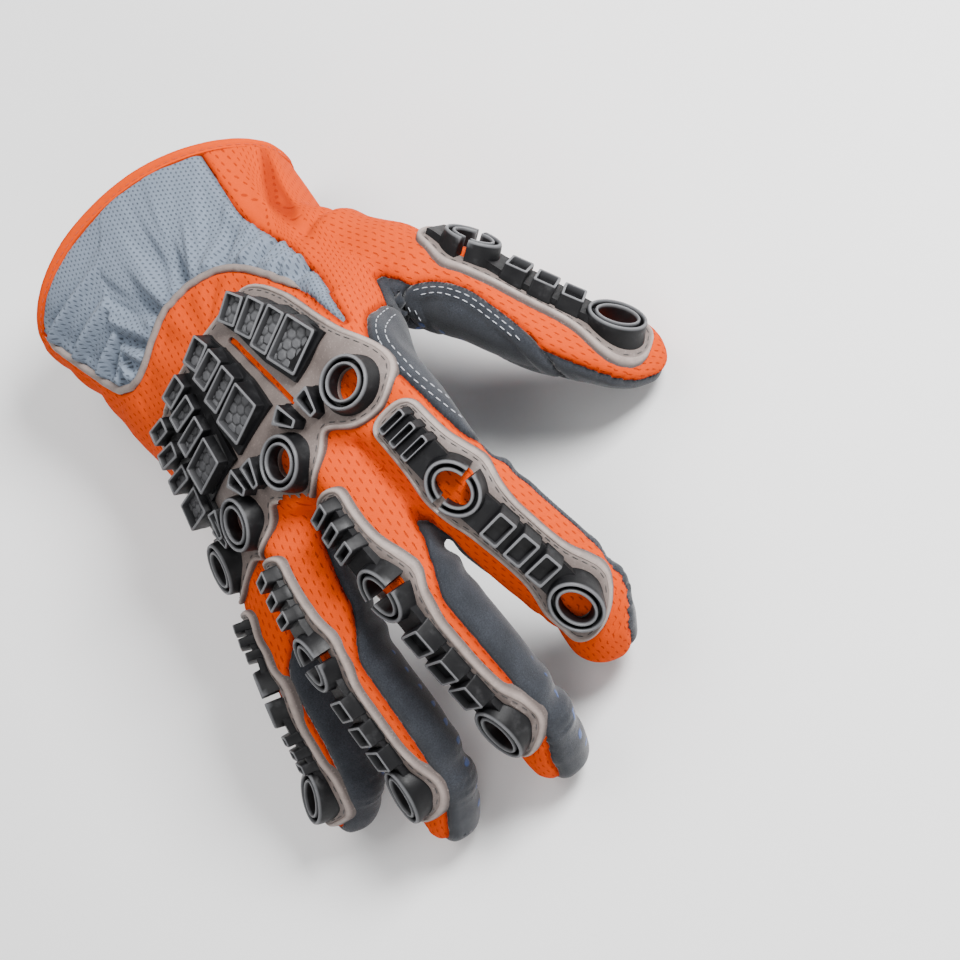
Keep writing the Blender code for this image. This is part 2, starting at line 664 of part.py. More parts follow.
def rested(seat, grid, gap):
    """Height of each grid node over the cloth at which a flat-faceted plate clears it by the gap."""
    lift = np.zeros((len(grid), len(grid[0])))
    shares = [(u, v) for u in (0, 0.25, 0.5, 0.75, 1) for v in (0, 0.25, 0.5, 0.75, 1)]
    nodes = np.array([[seat.point(*pair, 0.0) for pair in row] for row in grid])
    ups = np.array([[seat.frame(*pair)[1] for pair in row] for row in grid])
    for turn in range(12):
        places = nodes + ups * (lift + gap)[..., None]
        for i in range(len(grid) - 1):
            for j in range(len(grid[0]) - 1):
                short = 0.0
                for u, v in shares:
                    first, fourth = places[i, j], places[i + 1, j + 1]
                    other = places[i + 1, j] if u >= v else places[i, j + 1]
                    point = first * (1 - max(u, v)) + other * abs(u - v) + fourth * min(u, v)
                    near, normal, face, away = seat.tree.find_nearest(Vector(point))
                    short = max(short, gap + 0.0001 - (Vector(point) - near).dot(normal))
                lift[i:i + 2, j:j + 2] += short * 0.4
                places[i:i + 2, j:j + 2] += ups[i:i + 2, j:j + 2] * short * 0.4
    return lift


def sheet(seat, grid, lift, low, tops):
    """Closed plate over a grid of (along, over) pairs, from the height low up to each node's top."""
    rows, columns = len(grid), len(grid[0])
    made = bmesh.new()
    layers = [[[made.verts.new(seat.point(*grid[i][j], heights[i][j] + lift[i][j])) for j in range(columns)]
               for i in range(rows)]
              for heights in (np.broadcast_to(tops, lift.shape), np.full(lift.shape, low))]
    top, bottom = layers
    for i in range(rows - 1):
        for j in range(columns - 1):
            for layer in (top, bottom):
                made.faces.new((layer[i][j], layer[i + 1][j], layer[i + 1][j + 1]))
                made.faces.new((layer[i][j], layer[i + 1][j + 1], layer[i][j + 1]))
    rim = ([(i, 0) for i in range(rows)] + [(rows - 1, j) for j in range(1, columns)]
           + [(i, columns - 1) for i in range(rows - 2, -1, -1)] + [(0, j) for j in range(columns - 2, 0, -1)])
    for (i, j), (k, m) in zip(rim, rim[1:] + rim[:1]):
        made.faces.new((top[i][j], bottom[i][j], bottom[k][m], top[k][m]))
    return closed(made)


def framed(web, lead, edge):
    """The web's grid with one more row and column all around: lead before it, edge on the other sides."""
    grid = []
    for row in web:
        (a, left), (b, right) = row[0], row[-1]
        grid.append([(a, left - edge), *row, (b, right + edge)])
    first = [(a - lead, o * 0.85) for a, o in grid[0]]
    last = [(a + edge, o * 0.85) for a, o in grid[-1]]
    return [first, *grid, last]


def closed(made):
    """The finished mesh with its faces pointing out."""
    bmesh.ops.recalc_face_normals(made, faces=made.faces)
    mesh = bpy.data.meshes.new("piece")
    made.to_mesh(mesh)
    made.free()
    return mesh


def guard_rows(blocks):
    """Rows of a guard along it, from its blocks (begin, finish, ring): (along, raised, in the bore)."""
    rows = []
    for begin, finish, ring in blocks:
        rows += [(begin, False, False), (begin + STEEP, True, False)]
        if ring:
            middle, bore = (begin + finish) / 2, RING_BORE / 2
            rows += [(middle - bore - STEEP, True, False), (middle - bore, True, True),
                     (middle + bore, True, True), (middle + bore + STEEP, True, False)]
        rows += [(finish - STEEP, True, False), (finish, False, False)]
    return rows


def round_half(along, middle, length, width):
    """Half width of an oval block at a row, cut off square at its ends."""
    inside = 1 - ((along - middle) / (length / 2)) ** 2
    return width / 2 * max(inside, 0.2) ** 0.5


# start, split ring and end ring: shares of the digit's length; cells before the split ring;
# shift: share of FINGER_WIDTH towards the little finger.
GUARD_COLUMNS = ("start", "split", "end", "cells", "shift")
GUARDS = {
    "index": (0.205, 0.407, 0.820, 3, -0.08),
    "middle": (0.205, 0.421, 0.830, 3, -0.04),
    "ring": (0.215, 0.453, 0.862, 3, 0.00),
    "little": (0.290, 0.540, 0.925, 3, 0.00),
    "thumb": (0.475, 0.562, 0.915, 0, 0.04),
}


def digit_rubber(digit, tree, rubber, taupe):
    """Base plate and guard along the back of one digit."""
    start, split, end, cells, shift = GUARDS[digit.name]
    length = digit.length[-1]
    start, split, end, shift = start * length, split * length, end * length, shift * FINGER_WIDTH
    stop = end + RING_LENGTH / 2
    size = DIGITS[digit.name][3] if digit.name in DIGITS else 1.0

    def frame(along, over):
        centre, up, side, ahead = digit.frame(along)
        beyond = max(along - length, 0.0)
        return centre + side * (over + shift) + ahead * beyond, up

    seat = Seat(tree, frame, (start - 0.004, stop + 0.004), (-0.0105, 0.0105))
    narrow = RING_WIDTH * size * 0.40

    def half_width(along):
        """Half width of the web: round about the two rings and narrower between them."""
        wide = narrow
        for ring in (split, end):
            inside = 1 - ((along - ring) / (RING_LENGTH * 0.62)) ** 2
            wide = max(wide, RING_WIDTH * size / 2 * max(inside, 0) ** 0.5)
        close = (stop - along) / (RING_LENGTH / 2)
        return wide * min(1.0, max(close, 0.0) * 1.6 + 0.45) + GUARD_MARGIN

    near, edge = RING_LENGTH * 0.42, BASE_MARGIN - GUARD_MARGIN
    stations = [start - GUARD_MARGIN, (start + split - near) / 2, split - near, split, split + near,
                (split + end) / 2, end - near, end, end + near, stop + GUARD_MARGIN]
    grid = framed([[(a, half_width(a) * share) for share in (-1, -0.5, 0, 0.5, 1)] for a in stations], BASE_LEAD, edge)
    base = sheet(seat, grid, rested(seat, grid, BASE_SEAT), BASE_SEAT, BASE_SEAT + BASE_THICKNESS)
    add_object(digit.name + "_base", base, taupe)

    blocks = []
    spans = [(split + RING_LENGTH / 2 + BLOCK_GAP, end - RING_LENGTH / 2, 3)]
    if cells:
        spans.insert(0, (start, split - RING_LENGTH / 2, cells))
    for begin, finish, count in spans:
        pitch = (finish - begin) / count
        blocks += [(begin + cell * pitch, begin + (cell + 1) * pitch - BLOCK_GAP, False) for cell in range(count)]
    blocks += [(split - RING_LENGTH / 2, split - BLOCK_GAP, False), (split + BLOCK_GAP, split + RING_LENGTH / 2, False),
               (end - RING_LENGTH / 2, stop, True)]
    deck = Deck(base, frame)
    grid, tops = [], []
    for along, high, bore in guard_rows(sorted(blocks)):
        half = narrow * 0.85
        for ring in (split, end):
            if abs(along - ring) < RING_LENGTH / 2 + STEEP:
                half = round_half(along, ring, RING_LENGTH, RING_WIDTH * size)
        inner = min(RING_BORE / 2, half * 0.6)
        grid.append([(along, -half), (along, -inner), (along, inner), (along, half)])
        top = GUARD_HEIGHT if high else GUARD_WEB
        tops.append([top, GUARD_WEB if bore else top, GUARD_WEB if bore else top, top])
    plate = sheet(deck, grid, rested(deck, grid, GUARD_SEAT), GUARD_SEAT, np.array(tops) + GUARD_SEAT)
    add_object(digit.name + "_guard", plate, rubber)


# Columns of the knuckle guard: ring and wrist end as shares of HAND_WIDTH across and
# CUFF_TO_KNUCKLE along.
KNUCKLE_COLUMNS = ("ring_across", "ring_along", "wrist_across", "wrist_along")
KNUCKLES = (
    (-0.354, -0.004, -0.160, -0.465),
    (-0.088, 0.012, -0.030, -0.455),
    (0.165, -0.008, 0.095, -0.430),
    (0.385, -0.030, 0.215, -0.400),
)
KNUCKLE_RING = 0.0150
PAD_WIDTH = 0.0150          # widest room for a pad, across its column
PAD_PITCH = (0.16, 0.16, 0.16, 0.24)     # four pads, as shares of a column's length from its wrist end


def knuckle_rubber(hand, tree, rubber, taupe):
    """Base plate over the knuckles and the guard of four fanned columns on it."""
    seat = Seat(tree, hand.above, (-0.58 * CUFF_TO_KNUCKLE, 0.12 * CUFF_TO_KNUCKLE),
                (-0.50 * HAND_WIDTH, 0.52 * HAND_WIDTH), (26, 26))
    table = np.array(KNUCKLES) * (HAND_WIDTH, CUFF_TO_KNUCKLE, HAND_WIDTH, CUFF_TO_KNUCKLE)
    rings, wrists = table[:, [1, 0]], table[:, [3, 2]]

    reach = KNUCKLE_RING / 2 + GUARD_MARGIN
    front, back = [], []
    for k, (ring, wrist) in enumerate(zip(rings, wrists)):
        spread = (rings[k] - rings[k - 1]) if k else (rings[1] - rings[0])
        half = np.array([0, min(abs(spread[1]) / 2, reach) * 0.85])
        front += [ring - half + (reach * 0.5, 0), ring + (reach, 0), ring + half + (reach * 0.5, 0)]
        narrow = np.array([0, (wrists[1] - wrists[0])[1] * 0.36])
        back += [wrist - narrow - (GUARD_MARGIN, 0), wrist - (GUARD_MARGIN, 0), wrist + narrow - (GUARD_MARGIN, 0)]
    web = [[tuple(b + (f - b) * share) for f, b in zip(front, back)] for share in np.linspace(0, 1, 8)]
    edge = BASE_MARGIN - GUARD_MARGIN
    grid = []
    for row in web:
        grid.append([(row[0][0], row[0][1] - edge * 0.6), *row, (row[-1][0], row[-1][1] + edge * 0.6)])
    first = [(a - edge, o) for a, o in grid[0]]
    last = [(a + edge * 0.4, o) for a, o in grid[-1]]
    grid = [first, *grid, last]
    base = sheet(seat, grid, rested(seat, grid, BASE_SEAT), BASE_SEAT, BASE_SEAT + BASE_THICKNESS)
    add_object("knuckle_base", base, taupe)

    radius = KNUCKLE_RING / 2
    strips = []
    for k, (ring, wrist) in enumerate(zip(rings, wrists)):
        reach = np.linalg.norm(ring - wrist)
        axis = (ring - wrist) / reach
        side = np.array([-axis[1], axis[0]])
        begins = np.concatenate([[0.0], np.cumsum(PAD_PITCH)]) * reach
        blocks = [(begin, finish - BLOCK_GAP, False) for begin, finish in zip(begins, begins[1:])]
        blocks.append((reach - radius, reach + radius, True))
        strip = []
        for along, high, bore in guard_rows(blocks):
            share = min(along / reach, 1.0)
            middle = wrist + (ring - wrist) * share
            room = PAD_WIDTH
            for other in {max(k - 1, 0), min(k + 1, len(rings) - 1)} - {k}:
                away = wrists[other] + (rings[other] - wrists[other]) * share - middle
                room = min(room, abs(axis[0] * away[1] - axis[1] * away[0]))
            half = (room - BLOCK_GAP) / 2
            if along > reach - radius - STEEP:
                half = min(round_half(along, reach, KNUCKLE_RING, KNUCKLE_RING), half + BLOCK_GAP / 2)
            centre, inner = wrist + axis * along, min(RING_BORE / 2, half * 0.6)
            top = GUARD_HEIGHT if high else GUARD_WEB
            well = GUARD_WEB if bore else top
            valley = wrist + axis * min(along, reach + radius * 0.5)
            nodes = [valley - side * (half + STEEP), centre - side * half, centre - side * inner,
                     centre + side * inner, centre + side * half, valley + side * (half + STEEP)]
            strip.append(list(zip(nodes, (GUARD_WEB, top, well, well, top, GUARD_WEB))))
        strips.append(strip)
    rows = [[node for strip in strips for node in strip[row]] for row in range(len(strips[0]))]
    grid = [[tuple(place) for place, top in row] for row in rows]
    tops = np.array([[top for place, top in row] for row in rows]) + GUARD_SEAT
    deck = Deck(base, seat.frame)
    plate = sheet(deck, grid, rested(deck, grid, GUARD_SEAT), GUARD_SEAT, tops)
    add_object("knuckle_guard", plate, rubber)


def main():
    """Builds every piece."""
    for old in list(bpy.data.objects):
        bpy.data.objects.remove(old)
    orange = material("orange_knit", (1.0, 0.16, 0.02), 0.75)
    suede = material("grey_suede", (0.085, 0.095, 0.11), 0.9)
    mesh_cloth = material("blue_grey_mesh", (0.34, 0.41, 0.47), 0.85)
    rubber = material("black_rubber", (0.018, 0.018, 0.020), 0.5)
    taupe = material("taupe_rubber", (0.30, 0.26, 0.24), 0.6)
    looks = {"back_panel": orange, "palm_panel": suede, "cuff_panel": mesh_cloth,
             "thumb_crotch_patch": suede}
    hand = Hand()
    digits = make_digits(hand)
    borders = Borders(hand, digits)
    skin = cloth_form(hand, digits, borders.hem_line)
    tree = BVHTree.FromBMesh(skin)
    make_panels(skin, borders, looks)
    make_hem(hand, orange)
    for digit in digits.values():
        digit_rubber(digit, tree, rubber, taupe)
    knuckle_rubber(hand, tree, rubber, taupe)
    make_piping(hand, tree, taupe)
    make_tab(hand, taupe)
    centre_on_floor()


def centre_on_floor():
    """Moves everything so that the origin is on the floor under the middle of the glove."""
    pieces = [thing for thing in bpy.data.objects if not thing.hide_render]
    points = np.concatenate([[tuple(vert.co) for vert in baked(thing).vertices] for thing in pieces])
    middle = (points.min(0) + points.max(0)) / 2
    for thing in bpy.data.objects:
        thing.location = (-middle[0], -middle[1], -points[:, 2].min())


main()
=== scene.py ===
from math import cos, pi, radians, sin, tau

import bmesh
import bpy
import numpy as np
from bpy.props import FloatProperty, FloatVectorProperty, PointerProperty
from mathutils import Matrix, Vector
from mathutils.bvhtree import BVHTree


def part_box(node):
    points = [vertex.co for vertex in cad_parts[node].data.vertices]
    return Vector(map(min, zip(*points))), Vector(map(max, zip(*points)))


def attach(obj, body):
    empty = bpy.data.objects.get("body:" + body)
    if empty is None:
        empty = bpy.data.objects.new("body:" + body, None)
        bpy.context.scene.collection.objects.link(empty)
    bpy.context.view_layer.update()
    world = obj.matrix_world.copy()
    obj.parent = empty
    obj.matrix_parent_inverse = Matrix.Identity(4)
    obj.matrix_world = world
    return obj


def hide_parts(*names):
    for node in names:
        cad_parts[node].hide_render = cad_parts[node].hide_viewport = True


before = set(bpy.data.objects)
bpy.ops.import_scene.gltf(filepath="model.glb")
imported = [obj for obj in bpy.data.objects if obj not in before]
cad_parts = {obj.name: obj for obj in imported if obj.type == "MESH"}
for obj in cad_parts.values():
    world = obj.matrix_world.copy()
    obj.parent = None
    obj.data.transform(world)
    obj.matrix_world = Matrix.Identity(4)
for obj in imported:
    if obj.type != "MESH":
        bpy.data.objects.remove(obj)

bl_info = {
    "name": "Impact safety glove",
    "version": (1, 0, 0),
    "blender": (4, 5, 0),
    "location": "View3D > Sidebar > Glove",
    "description": "Cloth panels, rubber guards, stitching and studio of a right-hand impact glove",
    "category": "Object",
}

MM = 0.001

# The hand and finger form: the same named sizes and tables as the solids have, in metres and degrees.
CUFF_TO_KNUCKLE = 0.110
HAND_WIDTH = 0.088
HAND_THICKNESS = 0.050
KNUCKLE_HEIGHT = 0.053
HAND_SIDE = 0.028
FINGER_WIDTH = 0.0240
FINGER_THICKNESS = 0.0200
THUMB_WIDTH = 0.0250
THUMB_THICKNESS = 0.0190
CUFF_HEM_WIDTH = 0.0040
CUFF_BOW = 0.0100
REST_REACH = 0.0009
PATCH_FLOOR = 0.0260
SUEDE_RISE = 0.0050
RING_LENGTH = 0.0170
RING_WIDTH = 0.0135
BLOCK_GAP = 0.0012
TAB_SEAT = 0.0004
TAB_WIDTH = 0.0200
TAB_LENGTH = 0.0300
TAB_REACH = 0.0120
KNUCKLE_RING = 0.0150
PAD_WIDTH = 0.0150
ROOT_DEPTH = 0.022
ROOT_PITCH = -15

# along, side, height, width, thick, tilt, arch
HAND_SECTIONS = (
    (-1.120, 0.160, 0.465, 1.045, 1.04, 4, 10),
    (-0.864, 0.136, 0.462, 1.010, 1.02, 5, 12),
    (-0.727, 0.102, 0.475, 0.966, 0.97, 8, 16),
    (-0.545, 0.057, 0.585, 0.977, 0.92, 13, 26),
    (-0.364, 0.011, 0.760, 1.000, 0.84, 19, 40),
    (-0.182, 0.000, 0.900, 1.000, 0.72, 25, 54),
    (0.000, 0.000, 1.000, 0.989, 0.60, 28, 62),
    (0.082, 0.000, 1.000, 0.955, 0.48, 29, 64),
)
# root, back, length, size
DIGITS = {
    "index": (5.4, 0.0083, 0.0955, 1.02),
    "middle": (19.5, 0.0052, 0.1085, 1.00),
    "ring": (35.9, 0.0059, 0.1010, 0.96),
    "little": (51.5, 0.0080, 0.0800, 0.92),
}
# share, pitch, yaw, roll, width, thick
BONES = {
    "index": ((0.394, 12, -3, 4, 1.00, 1.02), (0.490, 44, -5, 6, 0.98, 0.98), (0.116, 58, 37, 8, 0.86, 0.92)),
    "middle": ((0.402, 6, 1, 38, 0.98, 1.00), (0.460, 39, 4, 33, 0.96, 0.88),
               (0.138, 61, 37, 33, 0.86, 0.90)),
    "ring": ((0.421, 6, 10, 48, 0.96, 0.98), (0.442, 32, 10, 45, 0.95, 0.86),
             (0.137, 49, 49, 45, 0.84, 0.88)),
    "little": ((0.495, 5, 18, 67, 0.95, 0.98), (0.372, 26, 19, 58, 0.92, 0.88),
               (0.133, 43, 62, 57, 0.82, 0.86)),
}
THUMB_ROOT = (0.008, -0.078, 0.030)
THUMB_LENGTH = 0.1165
THUMB_BONES = ((0.514, -8, -33, -76, 1.12, 1.30), (0.396, 25, -31, -76, 0.96, 0.86),
               (0.090, 54, -70, -76, 0.84, 0.90))
# start, split ring, end ring, cells before the split ring, shift
GUARDS = {
    "index": (0.205, 0.407, 0.820, 3, -0.08),
    "middle": (0.205, 0.421, 0.830, 3, -0.04),
    "ring": (0.215, 0.453, 0.862, 3, 0.00),
    "little": (0.290, 0.540, 0.925, 3, 0.00),
    "thumb": (0.475, 0.562, 0.915, 0, 0.04),
}
# ring across, ring along, wrist end across, wrist end along
KNUCKLES = (
    (-0.354, -0.004, -0.160, -0.465),
    (-0.088, 0.012, -0.030, -0.455),
    (0.165, -0.008, 0.095, -0.430),
    (0.385, -0.030, 0.215, -0.400),
)
PAD_PITCH = (0.16, 0.16, 0.16, 0.24)
CUFF_PANEL = ((-0.37, -1.25), (-0.355, -0.88), (-0.32, -0.72), (-0.35, -0.64), (-0.385, -0.54),
              (-0.40, -0.34),
              (-0.43, -0.12), (-0.345, -0.36), (-0.27, -0.53), (-0.21, -0.62), (-0.11, -0.655), (0.02, -0.66),
              (0.125, -0.62), (0.21, -0.565), (0.31, -0.595), (0.36, -0.68), (0.43, -0.93), (0.40, -1.25))
PATCH = ((-0.108, -0.07), (-0.136, -0.17), (-0.205, -0.25), (-0.307, -0.21), (-0.375, -0.14), (-0.42, 0.00),
         (-0.42, 0.08), (-0.23, 0.27), (-0.176, 0.245), (-0.142, 0.11), (-0.125, 0.045))


# Sizes and colours that a user would change.
def length_size(name, description, default):
    """A length property."""
    return FloatProperty(name=name, description=description, default=default, min=0.0, subtype="DISTANCE",
                         unit="LENGTH", precision=5)


def colour(name, description, default):
    """A colour property."""
    return FloatVectorProperty(name=name, description=description, default=default, size=3, min=0.0, max=1.0,
                               subtype="COLOR")


class GLOVE_sizes(bpy.types.PropertyGroup):
    skin_step: length_size("Skin step", "Cell of the fine cloth skin", 0.00085)
    wall: length_size("Cloth wall", "Thickness of the cloth", 0.0018)
    seam_depth: length_size("Seam depth", "Depth of the groove along a seam", 0.0006)
    gather_depth: length_size("Gather depth", "Height of the gathers at the elastic cuff line", 0.0029)
    gather_pitch: length_size("Gather pitch", "Distance between gathers", 0.0088)
    crease_depth: length_size("Crease depth", "Height of the loose waves in the cloth", 0.00045)
    hem_roll: length_size("Hem roll", "Thickness of the rolled cuff hem", 0.0026)
    block_height: length_size("Block height", "Top of the guard blocks over the cloth", 0.0056)
    piping_radius: length_size("Piping radius", "Radius of the piping", 0.0010)
    stitch_length: length_size("Stitch length", "Length of one stitch", 0.0019)
    stitch_pitch: length_size("Stitch pitch", "Distance between stitches", 0.0028)


class GLOVE_colours(bpy.types.PropertyGroup):
    orange: colour("Orange knit", "Knit of the back and the hem", (0.63, 0.056, 0.0))
    orange_dash: colour("Knit dashes", "Small openings of the knit", (0.24, 0.011, 0.0))
    suede: colour("Grey suede", "Palm, finger sides and crotch patch", (0.027, 0.030, 0.037))
    dot: colour("Grip dots", "Printed dots on the palm", (0.035, 0.075, 0.22))
    mesh: colour("Blue-grey mesh", "Elastic cuff panel", (0.165, 0.200, 0.255))
    rubber: colour("Black rubber", "Guards", (0.0045, 0.0045, 0.0052))
    rim: colour("Rubber edge", "Light catching edges of the guards", (0.130, 0.131, 0.138))
    taupe: colour("Taupe rubber", "Base plates, piping and pull tab", (0.150, 0.118, 0.108))
    lip: colour("Taupe lip", "Raised lip of the plates", (0.300, 0.245, 0.222))
    thread: colour("Dark thread", "Stitches on the plates", (0.025, 0.022, 0.022))
    light_thread: colour("Light thread", "Stitches on the suede", (0.42, 0.44, 0.48))


# Numpy helpers.
def smooth_rows(rows, count):
    """Cubic pieces through table rows with averaged slopes, knots spaced by the root of the chord."""
    rows = np.asarray(rows, float)
    steps = np.linalg.norm(np.diff(rows[:, :3], axis=0), axis=1) ** 0.5
    knots = np.concatenate([[0.0], np.cumsum(steps)])
    slopes = np.gradient(rows, knots, axis=0)
    at = np.linspace(0.0, knots[-1], count)
    piece = np.clip(np.searchsorted(knots, at, side="right") - 1, 0, len(rows) - 2)
    width = (knots[piece + 1] - knots[piece])[:, None]
    t = (at - knots[piece])[:, None] / width
    return ((2 * t ** 3 - 3 * t ** 2 + 1) * rows[piece] + (t ** 3 - 2 * t ** 2 + t) * width * slopes[piece]
            + (3 * t ** 2 - 2 * t ** 3) * rows[piece + 1] + (t ** 3 - t ** 2) * width * slopes[piece + 1])


def unit(vectors):
    """Vectors scaled to length one."""
    return vectors / np.maximum(np.linalg.norm(vectors, axis=-1, keepdims=True), 1e-12)


def step(low, high, values):
    """Rises smoothly from 0 at low to 1 at high."""
    t = np.clip((values - low) / (high - low), 0, 1)
    return t * t * (3 - 2 * t)


def hill(values, width):
    """Bell curve of that width, 1 in the middle."""
    return np.exp(-(values / width) ** 2)


def wrap_quads(rows, columns, around=True):
    """Faces between the rows of a grid, joined round its columns when around is set."""
    i = np.arange(rows - 1)[:, None] * columns
    j = np.arange(columns if around else columns - 1)[None]
    k = (j + 1) % columns
    return np.stack([i + j, i + k, i + columns + k, i + columns + j], axis=-1).reshape(-1, 4)


def run_length(line):
    """Length along a line at each of its points."""
    return np.concatenate([[0.0], np.cumsum(np.linalg.norm(np.diff(line, axis=0), axis=1))])


def at_lengths(at, steps, line):
    """Points of a line at given lengths along it."""
    return np.stack([np.interp(at, steps, line[:, k]) for k in range(line.shape[1])], axis=1)


class Pieces:
    """Collects grids of points and their faces into one mesh, with a rim value for each point."""

    def __init__(self):
        self.points, self.quads, self.tris, self.rims = [], [], [], []
        self.count = 0

    def add(self, points, quads=None, tris=None, rim=0.0):
        """Adds points with faces numbered from these points' own first one."""
        points = np.asarray(points, float).reshape(-1, 3)
        self.points.append(points)
        self.rims.append(np.broadcast_to(np.asarray(rim, float), (len(points),)))
        if quads is not None:
            self.quads.append(np.asarray(quads) + self.count)
        if tris is not None:
            self.tris.append(np.asarray(tris) + self.count)
        self.count += len(points)

    def loft(self, rows, rim=0.0, loop=False, bridge=False):
        """Skin through rows of closed outlines: joined end to end, or capped with fans or straight
        bridges."""
        count, sides = rows.shape[:2]
        rim = np.broadcast_to(np.asarray(rim, float).reshape(-1, 1) if np.ndim(rim) == 1 else rim,
                              (count, sides))
        quads = wrap_quads(count + 1, sides) % (count * sides) if loop else wrap_quads(count, sides)
        points = rows.reshape(-1, 3)
        rims = rim.ravel()
        tris = None
        if not loop and bridge:
            j = np.arange(1, sides // 2)
            caps = np.stack([j, j + 1, sides - j - 1, sides - j], axis=-1)[:-1]
            last = (count - 1) * sides
            quads = np.concatenate([quads, caps[:, ::-1], caps + last])
            ends = np.array([(0, 1, sides - 1), (sides // 2, sides // 2 + 1, sides // 2 - 1)])
            tris = np.concatenate([ends, ends[:, ::-1] + last])
        elif not loop:
            j = np.arange(sides)
            k = (j + 1) % sides
            first, last = np.full(sides, count * sides), np.full(sides, count * sides + 1)
            tris = np.concatenate([np.stack([k, j, first], axis=-1),
                                   np.stack([j + (count - 1) * sides, k + (count - 1) * sides, last],
                                            axis=-1)])
            points = np.concatenate([points, rows[0].mean(0)[None], rows[-1].mean(0)[None]])
            rims = np.concatenate([rims, [rim[0, 0], rim[-1, 0]]])
        self.add(points, quads, tris, rims)

    def dashes(self, centres, ahead, up, length, radius):
        """Stitches: spindles along ahead, whose radius is a root of one minus the square of the place."""
        ahead = unit(ahead)
        up = unit(up - ahead * (up * ahead).sum(1, keepdims=True))
        side = np.cross(ahead, up)
        turn = np.arange(6) * tau / 6
        place = np.array([-0.98, -0.6, 0.6, 0.98])
        thick = (1 - place ** 2) ** 0.4 * radius
        grid = (centres[:, None, None] + ahead[:, None, None] * (place * length / 2)[None, :, None, None]
                + side[:, None, None] * (thick[:, None] * np.cos(turn))[None, :, :, None]
                + up[:, None, None] * (thick[:, None] * np.sin(turn))[None, :, :, None])
        one = wrap_quads(4, 6)
        cap = np.array([(0, 1, 2, 3), (0, 3, 4, 5)])
        one = np.concatenate([one, cap[:, ::-1], cap + 18])
        many = (one[None] + (np.arange(len(centres)) * 24)[:, None, None]).reshape(-1, 4)
        self.add(grid, quads=many)

    def piece(self, name, look, nodes=(), slot=None, sharp=40, **layers):
        """The finished object on its body, in place of its CAD nodes."""
        points = np.concatenate(self.points) + SHIFT
        faces = [face for group in (*self.quads, *self.tris) for face in group.tolist()]
        mesh = bpy.data.meshes.new(name)
        mesh.from_pydata(points.tolist(), [], faces)
        solid = bmesh.new()
        solid.from_mesh(mesh)
        bmesh.ops.recalc_face_normals(solid, faces=solid.faces)
        solid.to_mesh(mesh)
        solid.free()
        mesh.attributes.new("rim", "FLOAT", "POINT").data.foreach_set("value", np.concatenate(self.rims))
        mesh.shade_smooth()
        mesh.set_sharp_from_angle(angle=radians(sharp))
        return place_piece(name, mesh, look, nodes)


def place_piece(name, mesh, look, nodes):
    """Links a mesh as a piece with its material, body and the CAD nodes it stands for."""
    made = bpy.data.objects.new(name, mesh)
    bpy.context.scene.collection.objects.link(made)
    mesh.materials.append(look)
    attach(made, "root")
    if nodes:
        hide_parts(*nodes)
    return made


# The form.
class Hand:
    """The hand body: sections across Y, each bent along an arc that droops to the little finger."""

    def __init__(self):
        along, side, height, width, thick, tilt, arch = np.array(HAND_SECTIONS, float).T
        self.rows = np.stack([along * CUFF_TO_KNUCKLE, HAND_SIDE + side * HAND_WIDTH, height * KNUCKLE_HEIGHT,
                              width * HAND_WIDTH / 2, thick * HAND_THICKNESS / 2, np.radians(tilt),
                              np.radians(arch)], axis=1)

    def at(self, y):
        """Section values at each Y: side, height, half width, half thickness, tilt, arch radius."""
        side, height, half_width, half_thick, tilt, arch = [np.interp(y, self.rows[:, 0], self.rows[:, k])
                                                            for k in range(1, 7)]
        return side, height, half_width, half_thick, tilt, 2 * half_width / arch

    def bent(self, values, y, across, lift):
        """Place at a distance across and a lift over the middle layer: polar about the arch's centre."""
        side, height, half_width, half_thick, tilt, radius = values
        angle = tilt + across / radius
        return np.stack([side - radius * np.sin(tilt) + (radius + lift) * np.sin(angle), y + 0 * angle,
                         height - radius * np.cos(tilt) + (radius + lift) * np.cos(angle)], axis=-1), angle

    def outline(self, y, turn, inset=0.0):
        """Section outline: a bar rounded by the power 0.8 of cosine and sine, drawn in by inset."""
        values = self.at(y)
        across = (values[2] - inset) * np.sign(np.cos(turn)) * abs(np.cos(turn)) ** 0.8
        lift = (values[3] - inset) * np.sign(np.sin(turn)) * abs(np.sin(turn)) ** 0.8
        return self.bent(values, y, across, lift)[0], across, lift

    def above(self, along, across):
        """A place just under the back of the hand, and its outward direction there."""
        values = self.at(along)
        place, angle = self.bent(values, along, across, values[3] * 0.8)
        return place, np.stack([np.sin(angle), 0 * angle, np.cos(angle)], axis=-1)

    def rings(self, count=14, sides=32):
        """Section outlines along the hand."""
        turn = np.arange(sides) * tau / sides
        rings = []
        for y, side, height, half_width, half_thick, tilt, arch in smooth_rows(self.rows, count):
            values = (side, height, half_width, half_thick, tilt, 2 * half_width / arch)
            across = half_width * np.sign(np.cos(turn)) * abs(np.cos(turn)) ** 0.8
            lift = half_thick * np.sign(np.sin(turn)) * abs(np.sin(turn)) ** 0.8
            rings.append(self.bent(values, y, across, lift)[0])
        return np.array(rings)

    def place(self, points):
        """Along, across, lift above the middle layer, and signed distance of points."""
        side, height, half_width, half_thick, tilt, radius = self.at(points[:, 1])
        x = points[:, 0] - side + radius * np.sin(tilt)
        z = points[:, 2] - height + radius * np.cos(tilt)
        across = (np.arctan2(x, z) - tilt) * radius
        lift = np.hypot(x, z) - radius
        shape = (abs(across / half_width) ** 2.5 + abs(lift / half_thick) ** 2.5) ** 0.4
        end = points[:, 1] - self.rows[-1, 0]
        return points[:, 1], across, lift, np.maximum((shape - 1) * half_thick, end)


